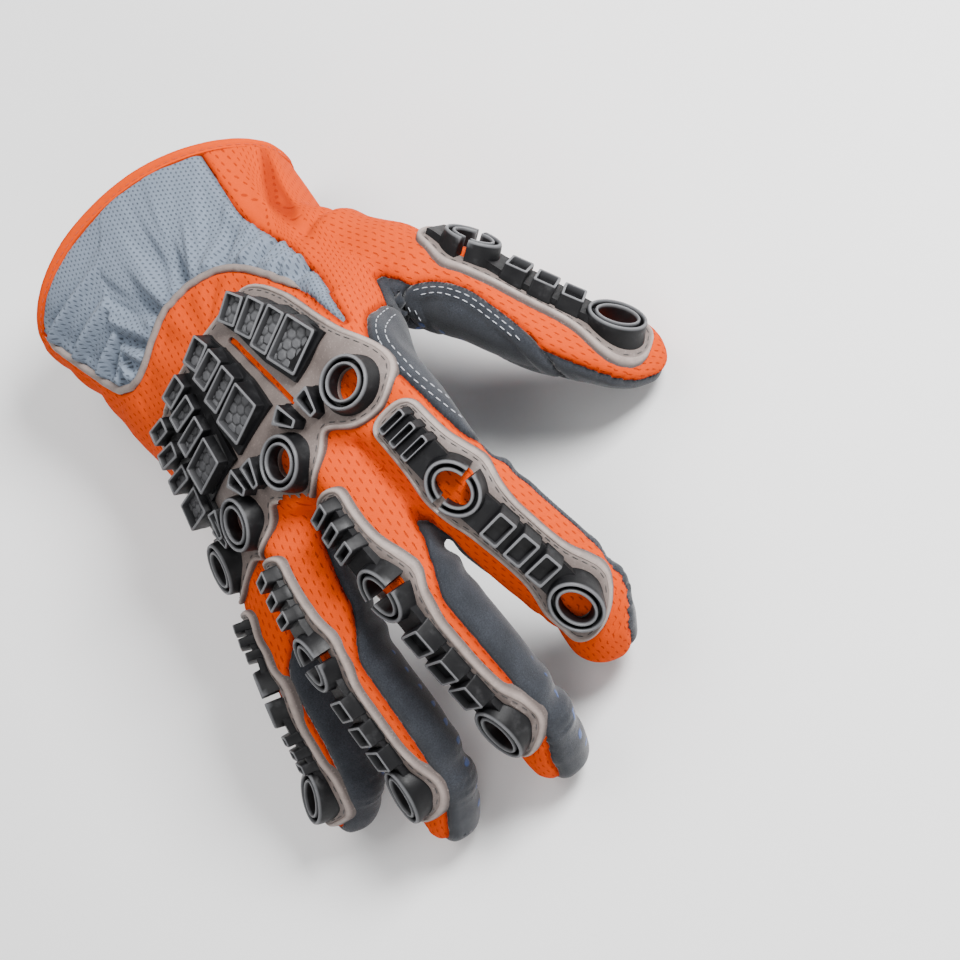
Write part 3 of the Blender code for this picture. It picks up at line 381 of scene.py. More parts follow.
class Digit:
    """A finger or thumb: a centre line through its joints with a rounded section on it."""

    def __init__(self, name, root, lead, bones, length, width, thick):
        self.name = name
        joint = np.array(root, float)
        first = self.direction(min(bones[0][1], ROOT_PITCH), bones[0][2])
        rows = [[*(joint - lead * first), width * 0.46, thick * 0.46, radians(bones[0][3])],
                [*joint, width * 0.50, thick * 0.58, radians(bones[0][3])]]
        for share, pitch, yaw, roll, wide, deep in bones:
            joint = joint + share * length * self.direction(pitch, yaw)
            rows.append([*joint, wide * width / 2, deep * thick / 2, radians(roll)])
        self.rows = smooth_rows(rows, 40)
        self.line = self.rows[:, :3]
        self.tangent = unit(np.gradient(self.line, axis=0))
        roll = self.rows[:, 5]
        up = np.stack([np.sin(roll), 0 * roll, np.cos(roll)], axis=1)
        self.up = unit(up - self.tangent * (up * self.tangent).sum(1, keepdims=True))
        self.over = np.cross(self.tangent, self.up)
        steps = np.linalg.norm(np.diff(self.line, axis=0), axis=1)
        self.length = np.concatenate([[0.0], np.cumsum(steps)]) - lead

    @staticmethod
    def direction(pitch, yaw):
        """Unit vector from a pitch below level and a yaw towards +X, in degrees."""
        flat = cos(radians(pitch))
        return np.array([flat * sin(radians(yaw)), flat * cos(radians(yaw)), -sin(radians(pitch))])

    def rings(self, sides=16):
        """Section ellipses along the centre line, ending in a round ball."""
        turn = np.arange(sides) * tau / sides
        row = np.arange(0, len(self.line), 2)
        side = self.over[row, None] * (np.cos(turn)[None] * self.rows[row, 3:4])[..., None]
        lift = self.up[row, None] * (np.sin(turn)[None] * self.rows[row, 4:5])[..., None]
        last = self.rows[-1]
        share = np.array([0.4, 0.7, 0.9, 0.99])[:, None, None]
        ball = (self.line[-1] + self.tangent[-1] * last[4] * 1.05 * share
                + (np.outer(np.cos(turn), self.over[-1]) * last[3]
                   + np.outer(np.sin(turn), self.up[-1]) * last[4])[None] * (1 - share ** 2) ** 0.5)
        return np.concatenate([self.line[row, None] + side + lift, ball])

    def frame(self, along):
        """Centre, up, over and tangent at lengths from the knuckle, carried straight on past the tip."""
        out = [np.stack([np.interp(along, self.length, values[:, k]) for k in range(3)], axis=-1)
               for values in (self.line, self.up, self.over, self.tangent)]
        beyond = np.maximum(along - self.length[-1], 0)[..., None]
        return out[0] + unit(out[3]) * beyond, unit(out[1]), unit(out[2]), unit(out[3])

    def place(self, points):
        """Along, over, lift above the centre line, and signed distance of points."""
        near = (((points[:, None] - self.line[None]) ** 2).sum(2)).argmin(1)
        offset = points - self.line[near]
        ahead = (offset * self.tangent[near]).sum(1)
        over = (offset * self.over[near]).sum(1)
        lift = (offset * self.up[near]).sum(1)
        half_width, half_thick = self.rows[near, 3], self.rows[near, 4]
        end = np.where(near == len(self.line) - 1, np.maximum(ahead, 0), 0)
        shape = np.sqrt((over / half_width) ** 2 + (lift / half_thick) ** 2 + (end / half_thick) ** 2)
        return self.length[near] + ahead, over, lift, (shape - 1) * half_thick


def make_digits(hand):
    """The four fingers on the knuckle arch, and the thumb."""
    side, height, half_width, half_thick, tilt, radius = hand.at(0.0)
    digits = {}
    for name, (root, back, length, size) in DIGITS.items():
        angle, reach = radians(root), radius * 1.03
        place = (side - radius * sin(tilt) + reach * sin(angle), -back, height - radius * cos(tilt)
                 + reach * cos(angle))
        digits[name] = Digit(name, place, ROOT_DEPTH, BONES[name], length, FINGER_WIDTH * size,
                             FINGER_THICKNESS * size)
    digits["thumb"] = Digit("thumb", THUMB_ROOT, 0.010, THUMB_BONES, THUMB_LENGTH, THUMB_WIDTH,
                            THUMB_THICKNESS)
    return digits


def cuff_line(across, lift):
    """Y of the cuff edge: a parabola across the wrist that deepens from the palm side to the back."""
    rise = np.clip(0.5 + lift / HAND_THICKNESS, 0, 1)
    return CUFF_BOW * (0.5 - (1 - np.clip(across / (HAND_WIDTH / 2), -1, 1) ** 2) * rise) - CUFF_TO_KNUCKLE


def outline_distance(points, corners):
    """Signed distance to a closed flat outline, positive inside."""
    corners = np.asarray(corners, float)
    best = np.full(len(points), np.inf)
    inside = np.zeros(len(points), bool)
    for (ax, ay), (bx, by) in zip(corners, np.roll(corners, -1, axis=0)):
        edge = np.array([bx - ax, by - ay])
        gap = points - (ax, ay)
        t = np.clip(gap @ edge / (edge @ edge), 0, 1)
        best = np.minimum(best, np.hypot(*(gap - t[:, None] * edge).T))
        if ay != by:
            crossing = (ay > points[:, 1]) != (by > points[:, 1])
            inside ^= crossing & (points[:, 0] < (bx - ax) * (points[:, 1] - ay) / (by - ay) + ax)
    return np.where(inside, best, -best)


def line_distance(points, corners):
    """Distance to an open flat line, and the length along it of the nearest point."""
    best = np.full(len(points), np.inf)
    place = np.zeros(len(points))
    run = 0.0
    for start, end in zip(corners[:-1], corners[1:]):
        edge = end - start
        size = np.hypot(*edge)
        gap = points - start
        t = np.clip(gap @ edge / size ** 2, 0, 1)
        away = np.hypot(*(gap - t[:, None] * edge).T)
        place = np.where(away < best, run + t * size, place)
        best = np.minimum(best, away)
        run += size
    return best, place


def softened(corners, count, passes):
    """A closed outline at even steps, its corners rounded by averaging neighbours."""
    corners = np.asarray(corners, float)
    closed = np.concatenate([corners, corners[:1]])
    steps = run_length(closed)
    at = np.linspace(0.0, steps[-1], count, endpoint=False)
    line = at_lengths(at, steps, closed)
    for again in range(passes):
        line = (np.roll(line, 1, axis=0) + np.roll(line, -1, axis=0) + 2 * line) / 4
    return line


HAND = Hand()
DIGIT = make_digits(HAND)
SHIFT = np.array(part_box("pull_tab")[0]) - (float(HAND.at(-CUFF_TO_KNUCKLE)[0]) - TAB_WIDTH / 2,
                                           cuff_line(0.0, -HAND_THICKNESS / 2) - TAB_REACH, 0.0018 + TAB_SEAT)
SHARES = (HAND_WIDTH, CUFF_TO_KNUCKLE)
PANEL_LINE = softened(np.array(CUFF_PANEL) * SHARES, 130, 7)
PATCH_LINE = softened(np.array(PATCH) * SHARES, 70, 4)
ENDS = [int(np.linalg.norm(PANEL_LINE - np.array(CUFF_PANEL[k]) * SHARES, axis=1).argmin()) for k in (7, 16)]
ELASTIC = PANEL_LINE[ENDS[0]:ENDS[1] + 1]
STATE = {}


# The cloth.
X, Y, Z, NX, NY, NZ, BACK, CUFF, PATCHED, HEM = range(10)
LIMBS = 10


def fine_skin(cell):
    """Hand and digits lofted, joined by a voxel remesh and relaxed: points and triangles."""
    joined = bmesh.new()
    for rings in [HAND.rings()] + [digit.rings() for digit in DIGIT.values()]:
        count, sides = rings.shape[:2]
        mesh = bpy.data.meshes.new("loft")
        faces = wrap_quads(count, sides).tolist()
        faces += [list(range(sides))[::-1], list(range((count - 1) * sides, count * sides))]
        mesh.from_pydata(rings.reshape(-1, 3).tolist(), [], faces)
        joined.from_mesh(mesh)
        bpy.data.meshes.remove(mesh)
    bmesh.ops.recalc_face_normals(joined, faces=joined.faces)
    mesh = bpy.data.meshes.new("form")
    joined.to_mesh(mesh)
    joined.free()
    form = bpy.data.objects.new("form", mesh)
    bpy.context.scene.collection.objects.link(form)
    remesh = form.modifiers.new("skin", "REMESH")
    remesh.mode = "VOXEL"
    remesh.voxel_size = cell
    relax = form.modifiers.new("relax", "SMOOTH")
    relax.factor = 0.5
    relax.iterations = int(6 * (0.0018 / cell) ** 2)
    baked = bpy.data.meshes.new_from_object(form.evaluated_get(bpy.context.evaluated_depsgraph_get()))
    points = np.empty(len(baked.vertices) * 3)
    baked.vertices.foreach_get("co", points)
    baked.calc_loop_triangles()
    tris = np.empty(len(baked.loop_triangles) * 3, np.int32)
    baked.loop_triangles.foreach_get("vertices", tris)
    bpy.data.objects.remove(form)
    return points.reshape(-1, 3), tris.reshape(-1, 3)


def vertex_normals(points, tris):
    """Area-weighted normals."""
    a, b, c = (points[tris[:, k]] for k in range(3))
    face = np.cross(b - a, c - a)
    out = np.zeros_like(points)
    for k in range(3):
        for axis in range(3):
            out[:, axis] += np.bincount(tris[:, k], face[:, axis], len(points))
    return unit(out)


def fields(points):
    """Columns for each point: the panel fields, positive inside a panel, and its place on each limb."""
    places = [HAND.place(points)] + [digit.place(points) for digit in DIGIT.values()]
    along, across, lift, away = places[0]
    weights, heights = [], []
    for name, (run, over, rise, gap) in zip(["hand", *DIGIT], places):
        raised = 0.0
        if name in ("middle", "ring", "little"):
            length = DIGIT[name].length[-1]
            raised = SUEDE_RISE * step(length * 0.38, length * 0.52, run) * step(0.001, -0.001, over)
        root = step(0.006, 0.030, run) + 1e-6 if name == "thumb" else 1.0
        weights.append(np.exp(-np.clip(gap, -0.01, 0.05) / 0.0025) * root)
        lowered = 0.009 * step(-0.016, -0.034, over) * step(-0.050, -0.070, run) if name == "hand" else 0.0
        heights.append(rise - raised + lowered)
    weights = np.array(weights)
    back = (weights * np.array(heights)).sum(0) / weights.sum(0)
    panel = np.minimum(outline_distance(np.stack([across, along], axis=1), PANEL_LINE), lift)
    patch = np.minimum(outline_distance(points[:, :2], PATCH_LINE), points[:, 2] - PATCH_FLOOR)
    hem = along - cuff_line(across, lift) - CUFF_HEM_WIDTH
    return np.column_stack([back, panel, patch, hem, *[column for place in places for column in place]])


def folded(table, sizes):
    """Displacement along the normal: gathers at the elastic line, seams, creases and loose waves."""
    x, y, z = table[:, X], table[:, Y], table[:, Z]
    along, across, lift, away = table[:, LIMBS:LIMBS + 4].T
    on_hand = step(0.004, 0.0, away)
    on_back = step(0.0, 0.008, lift)
    gap, run = line_distance(np.stack([across, along], axis=1), ELASTIC)
    inside = table[:, CUFF] > 0
    swing = np.sin(tau * run / sizes.gather_pitch + 1.4 * np.sin(run / 0.011)
                   + 0.9 * np.sin(gap / 0.009 + run / 0.02))
    swing = 0.65 * swing + 0.35 * np.sin(tau * run / (sizes.gather_pitch * 0.57) + 2.0 + gap / 0.006)
    reach = step(0.0, 0.0035, gap) * (0.25 * np.exp(-gap / 0.045) + 0.9 * hill(gap, 0.019))
    out = np.where(inside, swing * reach * sizes.gather_depth, 0.0) * on_hand * on_back
    outer = step(0.0015, 0.005, gap) * hill(gap, 0.012) * step(0.0, -0.004, table[:, CUFF])
    out += np.sin(tau * run / 0.0125 + 0.7) * outer * 0.0005 * on_hand * on_back

    knuckles = hill(along - 0.008, 0.014) * on_back
    out += (0.00075 * np.sin(across / 0.0021 + 1.5 * np.sin(along / 0.007)) * knuckles
            * step(0.012, 0.004, away))
    out += sizes.crease_depth * (np.sin(x / 0.0061 + np.sin(y / 0.013) * 1.7 + z / 0.012)
                                 * np.sin(y / 0.0098 + np.sin(x / 0.015) * 1.3)
                                 + 0.6 * np.sin(x / 0.017 - y / 0.011 + z / 0.0083 + 0.8))
    palm = step(0.0, -0.006, table[:, BACK])
    out += 0.0006 * palm * np.sin(along / 0.0052 + 1.8 * np.sin(across / 0.014)) * hill(along + 0.055, 0.05)

    for k, digit in enumerate(DIGIT.values()):
        run, over, rise, gap = table[:, LIMBS + 4 + 4 * k:LIMBS + 8 + 4 * k].T
        near = step(0.003, 0.0, gap)
        if digit.name == "thumb":
            bend = run - 0.020 - 0.25 * over
            out += (near * (0.0011 * hill(bend - 0.005, 0.0045) - 0.0012 * hill(bend, 0.0022))
                    * step(-0.004, 0.004, rise))
            out += near * 0.0006 * hill(run - 0.058, 0.011) * np.sin(run / 0.0021)
            continue
        for share in (0.44, 0.86):
            joint = digit.length[-1] * share
            out += (near * 0.00055 * hill(run - joint, 0.007) * np.sin((run - joint) / 0.0017)
                    * step(0.004, -0.003, rise))
            out += near * 0.00022 * hill(run - joint, 0.009) * np.sin((run - joint) / 0.0014)

    cuff, patch, back = table[:, CUFF], table[:, PATCHED], table[:, BACK]
    seam = np.minimum(abs(cuff), np.where(cuff < 0, abs(patch), 1.0))
    seam = np.minimum(seam, np.where((cuff < 0) & (patch < 0), abs(back), 1.0))
    out += sizes.seam_depth * (0.45 * hill(seam - 0.0024, 0.0013) - hill(seam, 0.0007))
    binding = step(0.0, 0.0006, patch) * step(0.0046, 0.0038, patch) * np.where(cuff < 0, 1.0, 0.0)
    out += 0.0005 * binding
    return out, seam


def split(table, tris, column, snap=0.0001):
    """Cuts triangles along the zero line of one column: crossed edges get a point at their zero."""
    table = table.copy()
    table[abs(table[:, column]) < snap, column] = 0.0
    sign = np.sign(table[:, column]).astype(int)
    marks = sign[tris]
    mixed = (marks.min(1) < 0) & (marks.max(1) > 0)
    kept, cut, marks = tris[~mixed], tris[mixed], marks[mixed]
    has_zero = (marks == 0).any(1)
    lone = np.where(marks.sum(1)[:, None] > 0, marks < 0, marks > 0).argmax(1)
    first = np.where(has_zero, (marks == 0).argmax(1), lone)
    turned = np.take_along_axis(cut, (first[:, None] + np.arange(3)) % 3, axis=1)
    a, b, c = turned.T
    whole = ~has_zero
    pairs = np.concatenate([np.stack([b, c], 1)[has_zero], np.stack([a, b], 1)[whole],
                            np.stack([a, c], 1)[whole]])
    unique, where = np.unique(np.sort(pairs, axis=1), axis=0, return_inverse=True)
    where = where.ravel()
    low, high = table[unique[:, 0], column], table[unique[:, 1], column]
    share = (low / (low - high))[:, None]
    middle = table[unique[:, 0]] * (1 - share) + table[unique[:, 1]] * share
    middle[:, column] = 0.0
    number = where + len(table)
    zero, ones = has_zero.sum(), whole.sum()
    m, p, q = number[:zero], number[zero:zero + ones], number[zero + ones:]
    za, zb, zc = turned[has_zero].T
    wa, wb, wc = turned[whole].T
    added = [np.stack(t, 1) for t in ((za, zb, m), (za, m, zc), (wa, p, q), (p, wb, wc), (p, wc, q))]
    return np.concatenate([table, middle]), np.concatenate([kept, *added])


def islands(tris, label, count):
    """Number of its connected patch for each triangle, by letting the lowest number spread over edges."""
    edges = np.sort(np.concatenate([tris[:, [0, 1]], tris[:, [1, 2]], tris[:, [2, 0]]]), axis=1)
    face = np.tile(np.arange(len(tris)), 3)
    key = edges[:, 0].astype(np.int64) * count + edges[:, 1]
    order = np.argsort(key, kind="stable")
    key, face = key[order], face[order]
    same = key[1:] == key[:-1]
    first, second = face[:-1][same], face[1:][same]
    alike = label[first] == label[second]
    group = np.arange(len(tris))
    a, b = first[alike], second[alike]
    for turn in range(4000):
        low = np.minimum(group[a], group[b])
        before = group.copy()
        np.minimum.at(group, a, low)
        np.minimum.at(group, b, low)
        group = group[group]
        if (group == before).all():
            break
    return group, first, second


def merge_islands(table, tris, label):
    """Small patches of a panel go to the panel around them."""
    group, first, second = islands(tris, label, len(table))
    size = np.bincount(group, minlength=len(tris))
    biggest = {name: size[group[label == name]].max() for name in np.unique(label)}
    small = size[group] < np.array([biggest[name] for name in label]) * 0.5
    for a, b in ((first, second), (second, first)):
        edge = small[a] & ~small[b]
        label = label.copy()
        heir = dict(zip(group[a[edge]].tolist(), label[b[edge]].tolist()))
        chosen = np.array([heir.get(number, -1) for number in group.tolist()])
        label = np.where(small & (chosen >= 0), chosen, label)
        small &= chosen < 0
    return label


def cloth_uv(table, tris):
    """Place of each corner in millimetres on its own limb: along it, and around it from its back."""
    limbs = 1 + len(DIGIT)
    away = table[:, LIMBS + 3:LIMBS + 4 * limbs:4][tris].sum(1)
    limb = away.argmin(1)
    corners = table[tris]
    out = np.zeros((len(tris), 3, 2))
    for k in range(limbs):
        mine = limb == k
        run, over, rise = (corners[mine][:, :, LIMBS + 4 * k + j] for j in range(3))
        if k:
            radius = 0.011
            angle = np.arctan2(over, rise)
            angle = angle - np.round((angle - angle[:, :1]) / tau) * tau
            around = angle * np.clip(np.hypot(over, rise), radius * 0.6, radius * 2.2)
        else:
            edge = step(0.030, 0.043, abs(over))
            around = over + np.sign(over) * edge * (0.016 - rise)
        out[mine] = np.stack([run, around], axis=-1) / MM
    return out


PANELS = (
    ("back_knit", "back_panel", "orange_knit", "knit"),
    ("palm_suede", "palm_panel", "grey_suede", "suede"),
    ("crotch_suede", "thumb_crotch_patch", "grey_suede", "suede"),
    ("cuff_mesh", "cuff_panel", "blue_grey_mesh", "mesh"),
)


class GLOVE_OT_cloth(bpy.types.Operator):
    """Lofts the hand, folds the fine skin and cuts it into its sewn panels."""
    bl_idname = "glove.cloth"
    bl_label = "Cloth panels"

    def execute(self, context):
        sizes = context.scene.glove_sizes
        points, tris = fine_skin(sizes.skin_step * (1))
        normals = vertex_normals(points, tris)
        table = np.column_stack([points, normals, fields(points)])
        out, seam = folded(table, sizes)
        table[:, :3] += normals * out[:, None]
        table[:, Z] = np.where(table[:, Z] > REST_REACH, table[:, Z], 0.0)
        table = np.column_stack([table, seam])
        table, tris = split(table, tris, HEM)
        tris = tris[table[tris][:, :, HEM].sum(1) > 0]
        STATE["skin"] = BVHTree.FromPolygons(table[:, :3].tolist(), tris.tolist())
        for column in (CUFF, PATCHED, BACK):
            table, tris = split(table, tris, column)
        value = table[tris].sum(1)
        label = np.where(value[:, BACK] > 0, 0, 1)
        label[value[:, PATCHED] > 0] = 2
        label[value[:, CUFF] > 0] = 3
        label = merge_islands(table, tris, label)
        uv = cloth_uv(table, tris)
        for number, (name, node, slot, look) in enumerate(PANELS):
            mine = label == number
            used, corner = np.unique(tris[mine], return_inverse=True)
            rows = table[used]
            mesh = bpy.data.meshes.new(name)
            mesh.from_pydata((rows[:, :3] + SHIFT).tolist(), [], corner.reshape(-1, 3).tolist())
            layer = mesh.uv_layers.new(name="cloth")
            layer.data.foreach_set("uv", uv[mine].ravel())
            mesh.attributes.new("seam", "FLOAT", "POINT").data.foreach_set("value", rows[:, -1] / MM)
            mesh.attributes.new("under", "FLOAT", "POINT").data.foreach_set("value", -rows[:, BACK] / MM)
            mesh.shade_smooth()
            made = place_piece(name, mesh, STATE["looks"][look], [node])
            wall = made.modifiers.new("wall", "SOLIDIFY")
            wall.thickness = sizes.wall
            wall.offset = -1.0
            wall.use_even_offset = False
        return {"FINISHED"}


# Seats of the rubber pieces.
class Seat:
    """The cloth under a rubber piece: its height over a limb's own coordinates, from rays on a grid."""

    def __init__(self, place_at, along, over, steps):
        self.place_at = place_at
        self.along, self.over = np.linspace(*along, steps[0]), np.linspace(*over, steps[1])
        grid = np.stack(np.meshgrid(self.along, self.over, indexing="ij"), axis=-1).reshape(-1, 2)
        place, up = place_at(grid[:, 0], grid[:, 1])
        starts, downs = place + up * 0.018, -up
        hits = [STATE["skin"].ray_cast(Vector(start), Vector(down), 0.036)[3]
                for start, down in zip(starts, downs)]
        rise = 0.018 - np.array([np.nan if hit is None else hit for hit in hits]).reshape(steps)
        middle = steps[1] // 2
        for j in [*range(middle - 1, -1, -1), *range(middle + 1, steps[1])]:
            inner = rise[:, j + 1] if j < middle else rise[:, j - 1]
            rise[:, j] = np.where(np.isnan(rise[:, j]), inner - 0.0008, rise[:, j])
        soft = rise
        for turn in range(3):
            padded = np.pad(soft, 1, mode="edge")
            soft = ((padded[:-2, 1:-1] + padded[2:, 1:-1] + padded[1:-1, :-2] + padded[1:-1, 2:] + 2 * soft)
                    / 6)
        self.rise = np.maximum(soft, rise - 0.0003)

    def points(self, along, over, height):
        """Places at a height above the cloth, the cloth's own height read between the grid's rays."""
        along, over, height = np.broadcast_arrays(along, over, height)
        i = np.clip(np.interp(along, self.along, np.arange(len(self.along))), 0, len(self.along) - 1.001)
        j = np.clip(np.interp(over, self.over, np.arange(len(self.over))), 0, len(self.over) - 1.001)
        a, b = i.astype(int), j.astype(int)
        u, v = i - a, j - b
        rise = ((self.rise[a, b] * (1 - u) + self.rise[a + 1, b] * u) * (1 - v)
                + (self.rise[a, b + 1] * (1 - u) + self.rise[a + 1, b + 1] * u) * v)
        place, up = self.place_at(along, over)
        return place + up * (rise + height)[..., None]

    def ups(self, along, over):
        """Outward directions."""
        return self.place_at(along, over)[1]


def rounded_box(half_long, half_wide, corner):
    """Rectangle with quarter circles at its corners and a point in the middle of each side."""
    turn = np.radians(np.concatenate([np.array([0, 30, 60, 90]) + 90 * k for k in range(4)]))
    corner = min(corner, half_long * 0.9, half_wide * 0.9)
    signs = np.repeat([(1, 1), (-1, 1), (-1, -1), (1, -1)], 4, axis=0)
    along = signs[:, 0] * (half_long - corner) + corner * np.cos(turn)
    over = signs[:, 1] * (half_wide - corner) + corner * np.sin(turn)
    return np.insert(along, (4, 8, 12, 16), (0, -half_long, 0, half_long)), np.insert(
        over, (4, 8, 12, 16), (half_wide, 0, -half_wide, 0))


def raised(seat, along, over, height, centre, top, sink=0.0003):
    """Points that follow the cloth near it and lie in one flat plane from about half the top's height up."""
    along, over, height = np.broadcast_arrays(along, over, height)
    draped = seat.points(along, over, height)
    a, o = (np.array([value]) for value in centre)
    middle, up = seat.points(a, o, 0.0)[0], seat.ups(a, o)[0]
    small = 0.002
    ahead = (seat.place_at(a + small, o)[0] - seat.place_at(a - small, o)[0])[0]
    ahead = unit(ahead - up * (ahead @ up))
    side = (seat.place_at(a, o + small)[0] - seat.place_at(a, o - small)[0])[0]
    side = unit(side - up * (side @ up) - ahead * (side @ ahead))
    flat = (middle + ahead * (along - centre[0])[..., None] + side * (over - centre[1])[..., None]
            + up * (height - sink)[..., None])
    share = step(0.12, 0.5, height / top)[..., None]
    return draped * (1 - share) + flat * share


def block(pieces, seat, centre, half_long, half_wide, turn=0.0, shoulder=0.9, height=0.0060, floor=0.0026,
          taper=0.0):
    """A hollow block: rounded boxes that climb sloping sides, turn over a thin rim and drop into a pocket."""
    tight = min(1.0, half_long / 0.0019)
    top, thin = height, 0.00045 * tight
    # The last value of each row is the weight of the painted edge highlight, highest on the top rim.
    rows = (
        (0.0, half_wide, 0.0003, 0), (0.0, half_wide, height * 0.36, 0),
        (0.00005, half_wide - 0.25 * MM, height * 0.44, 0),
        (0.00012, half_wide - shoulder * MM * 0.93, top - 0.00040, 0),
        (0.00020, half_wide - shoulder * MM, top - 0.00008, 1),
        (0.00030, half_wide - shoulder * MM - 0.00010, top, 1),
        (0.00030 + thin, half_wide - shoulder * MM - 0.0001 - thin, top, 1),
        (0.00038 + thin, half_wide - shoulder * MM - 0.00022 - thin, top - 0.00030, 0.3),
        (0.00048 + thin, half_wide - shoulder * MM - 0.00034 - thin, floor, 0))
    loops, rims = [], []
    for run, wide, lift, rim in rows:
        a, o = rounded_box(max(half_long - run * tight, 0.00012), max(wide, 0.0003), 0.0005)
        o = o * (1 - taper * a / half_long)
        along = a * cos(turn) - o * sin(turn) + centre[0]
        over = a * sin(turn) + o * cos(turn) + centre[1]
        loops.append(raised(seat, along, over, lift, centre, top))
        rims.append(rim)
    pieces.loft(np.array(loops), np.array(rims, float))


# Cross-section of a ring wall, outside to inside: inset, share of the height, rim (weight of the painted edge
# highlight).
RING_PROFILE = np.array((
    (0.00, 0.04, 0), (0.00, 0.62, 0), (0.12, 0.86, 0), (0.35, 0.97, 0.8), (0.55, 1.00, 1), (0.90, 1.00, 1),
    (1.10, 0.96, 0.6),
    (1.25, 0.84, 0), (1.40, 0.52, 0), (1.95, 0.52, 0), (2.10, 0.84, 0), (2.25, 0.96, 0.6), (2.45, 1.00, 1),
    (2.80, 1.00, 1),
    (3.00, 0.96, 0.6), (3.15, 0.84, 0), (3.25, 0.04, 0)))


def ring(pieces, seat, centre, half_long, half_wide, height=0.0066, spans=None, turn=0.0):
    """A double wall round an oval: the ring profile drawn in from the oval, whole or in open spans
    closed at the ends."""
    whole = spans is None
    for begin, finish in spans or ((0.0, 360.0),):
        count = 56 if whole else 26
        angle = np.radians(np.linspace(begin, finish, count, endpoint=not whole))[:, None]
        inset, rise, rim = (RING_PROFILE[None, :, k] for k in range(3))
        if not whole:
            near = np.minimum(angle - angle[0], angle[-1] - angle) * half_wide
            closing = step(0.0009, 0.0004, near)
            rise = rise + (np.where((inset > 1.1) & (inset < 2.2), 1.0, rise) - rise) * closing
            # The closing end walls also get the painted edge highlight.
            rim = np.maximum(rim, closing * (inset > 0.1) * (inset < 3.2)
                             * step(0.0000, 0.0002, near + 0.0001))
        else:
            rise = rise + 0 * angle
            rim = rim + 0 * angle
        a = (half_long - inset * MM) * np.cos(angle)
        o = (half_wide - inset * MM) * np.sin(angle)
        along = a * cos(turn) - o * sin(turn) + centre[0]
        over = a * sin(turn) + o * cos(turn) + centre[1]
        pieces.loft(raised(seat, along, over, rise * height, centre, height, 0.0005), rim, loop=whole)


def closed_half(corners, count):
    """A half outline resampled at even lengths, from one end of its axis to the other."""
    steps = run_length(corners)
    at = np.linspace(0.0, steps[-1], count)
    return at_lengths(at, steps, corners)


def drawn_in(outline, inset):
    """A closed flat outline moved in along its own normals; the outline runs against the clock seen from
    above."""
    ahead = unit(np.roll(outline, -1, axis=0) - np.roll(outline, 1, axis=0))
    inward = np.stack([-ahead[:, 1], ahead[:, 0]], axis=1)
    return outline + inward * inset


# Rows of a base plate from its edge: inset and height in millimetres, lip value.
PLATE_ROWS = ((0.0, -0.40, 0), (0.0, 0.85, 0), (0.08, 1.35, 0.4), (0.35, 1.75, 1), (0.75, 1.80, 1),
              (1.05, 1.60, 1),
              (1.30, 1.22, 0.55), (1.65, 1.15, 0.35), (2.60, 1.12, 0.25))


def plate(pieces, seat, outline, rows=PLATE_ROWS):
    """A base plate: the outline drawn in row by row over a raised lip, closed by straight bridges."""
    loops = [seat.points(*drawn_in(outline, inset * MM).T, height * MM) for inset, height, lip in rows]
    pieces.loft(np.array(loops), np.array([lip for inset, height, lip in rows]), bridge=True)


def contour(seat, outline, inset, height, pitch):
    """Even places along an outline drawn in by inset: centres, directions and ups for stitches."""
    line = drawn_in(outline, inset)
    line = np.concatenate([line, line[:1]])
    steps = run_length(line)
    at = np.arange(pitch / 2, steps[-1], pitch)
    places = [at_lengths(at + move, steps, line) for move in (-MM / 2, 0, MM / 2)]
    before, here, after = (seat.points(*place.T, height) for place in places)
    return here, after - before, seat.ups(*places[1].T)


# Height of the finger blocks and rings as a share of the knuckle blocks.
FINGER_BLOCKS = 0.88
# Stitches: their height over the cloth on a plate, and the radius of the thread.
STITCH_HEIGHT = 0.00122
THREAD = 0.00017
# Knuckle plate: radius of the disc round each ring, half width of the slot, radius of the ring bores,
# and how far the pads beside the slot are moved away from it.
KNUCKLE_DISC = 0.0103
SLOT_HALF = 0.0008
PLATE_BORE = 0.0040
PAD_SHIFT = 0.0008
# Crotch patch: insets of its two rows of stitches, distance between stitches and their length.
PATCH_INSETS = (0.0016, 0.0031)
PATCH_PITCH = 0.0024
PATCH_STITCH = 0.0016


def digit_outline(start, split_at, end, size):
    """Half outline of a finger's plate: waisted between its rings, with an elliptic nose and a blunt
    start."""
    low, high = start - 2.9 * MM, end + RING_LENGTH / 2 + 2.9 * MM
    along = low + (high - low) * (0.5 - 0.5 * np.cos(np.linspace(0, pi, 240)))
    wide = (6.9 * MM * size + (2.9 * MM * size) * hill(along - end, 0.0085)
            + 2.3 * MM * size * hill(along - split_at, 0.0075))
    nose = np.clip((along - end) / (high - end), 0, 1)
    blunt = np.clip((low + 4.5 * MM - along) / (4.5 * MM), 0, 1)
    wide = wide * (1 - nose ** 2.2) ** 0.5 * (1 - blunt ** 2.6) ** (1 / 2.6)
    half = closed_half(np.stack([along, wide], axis=1), 121)
    return np.concatenate([half * (1, -1), half[-2:0:-1]])


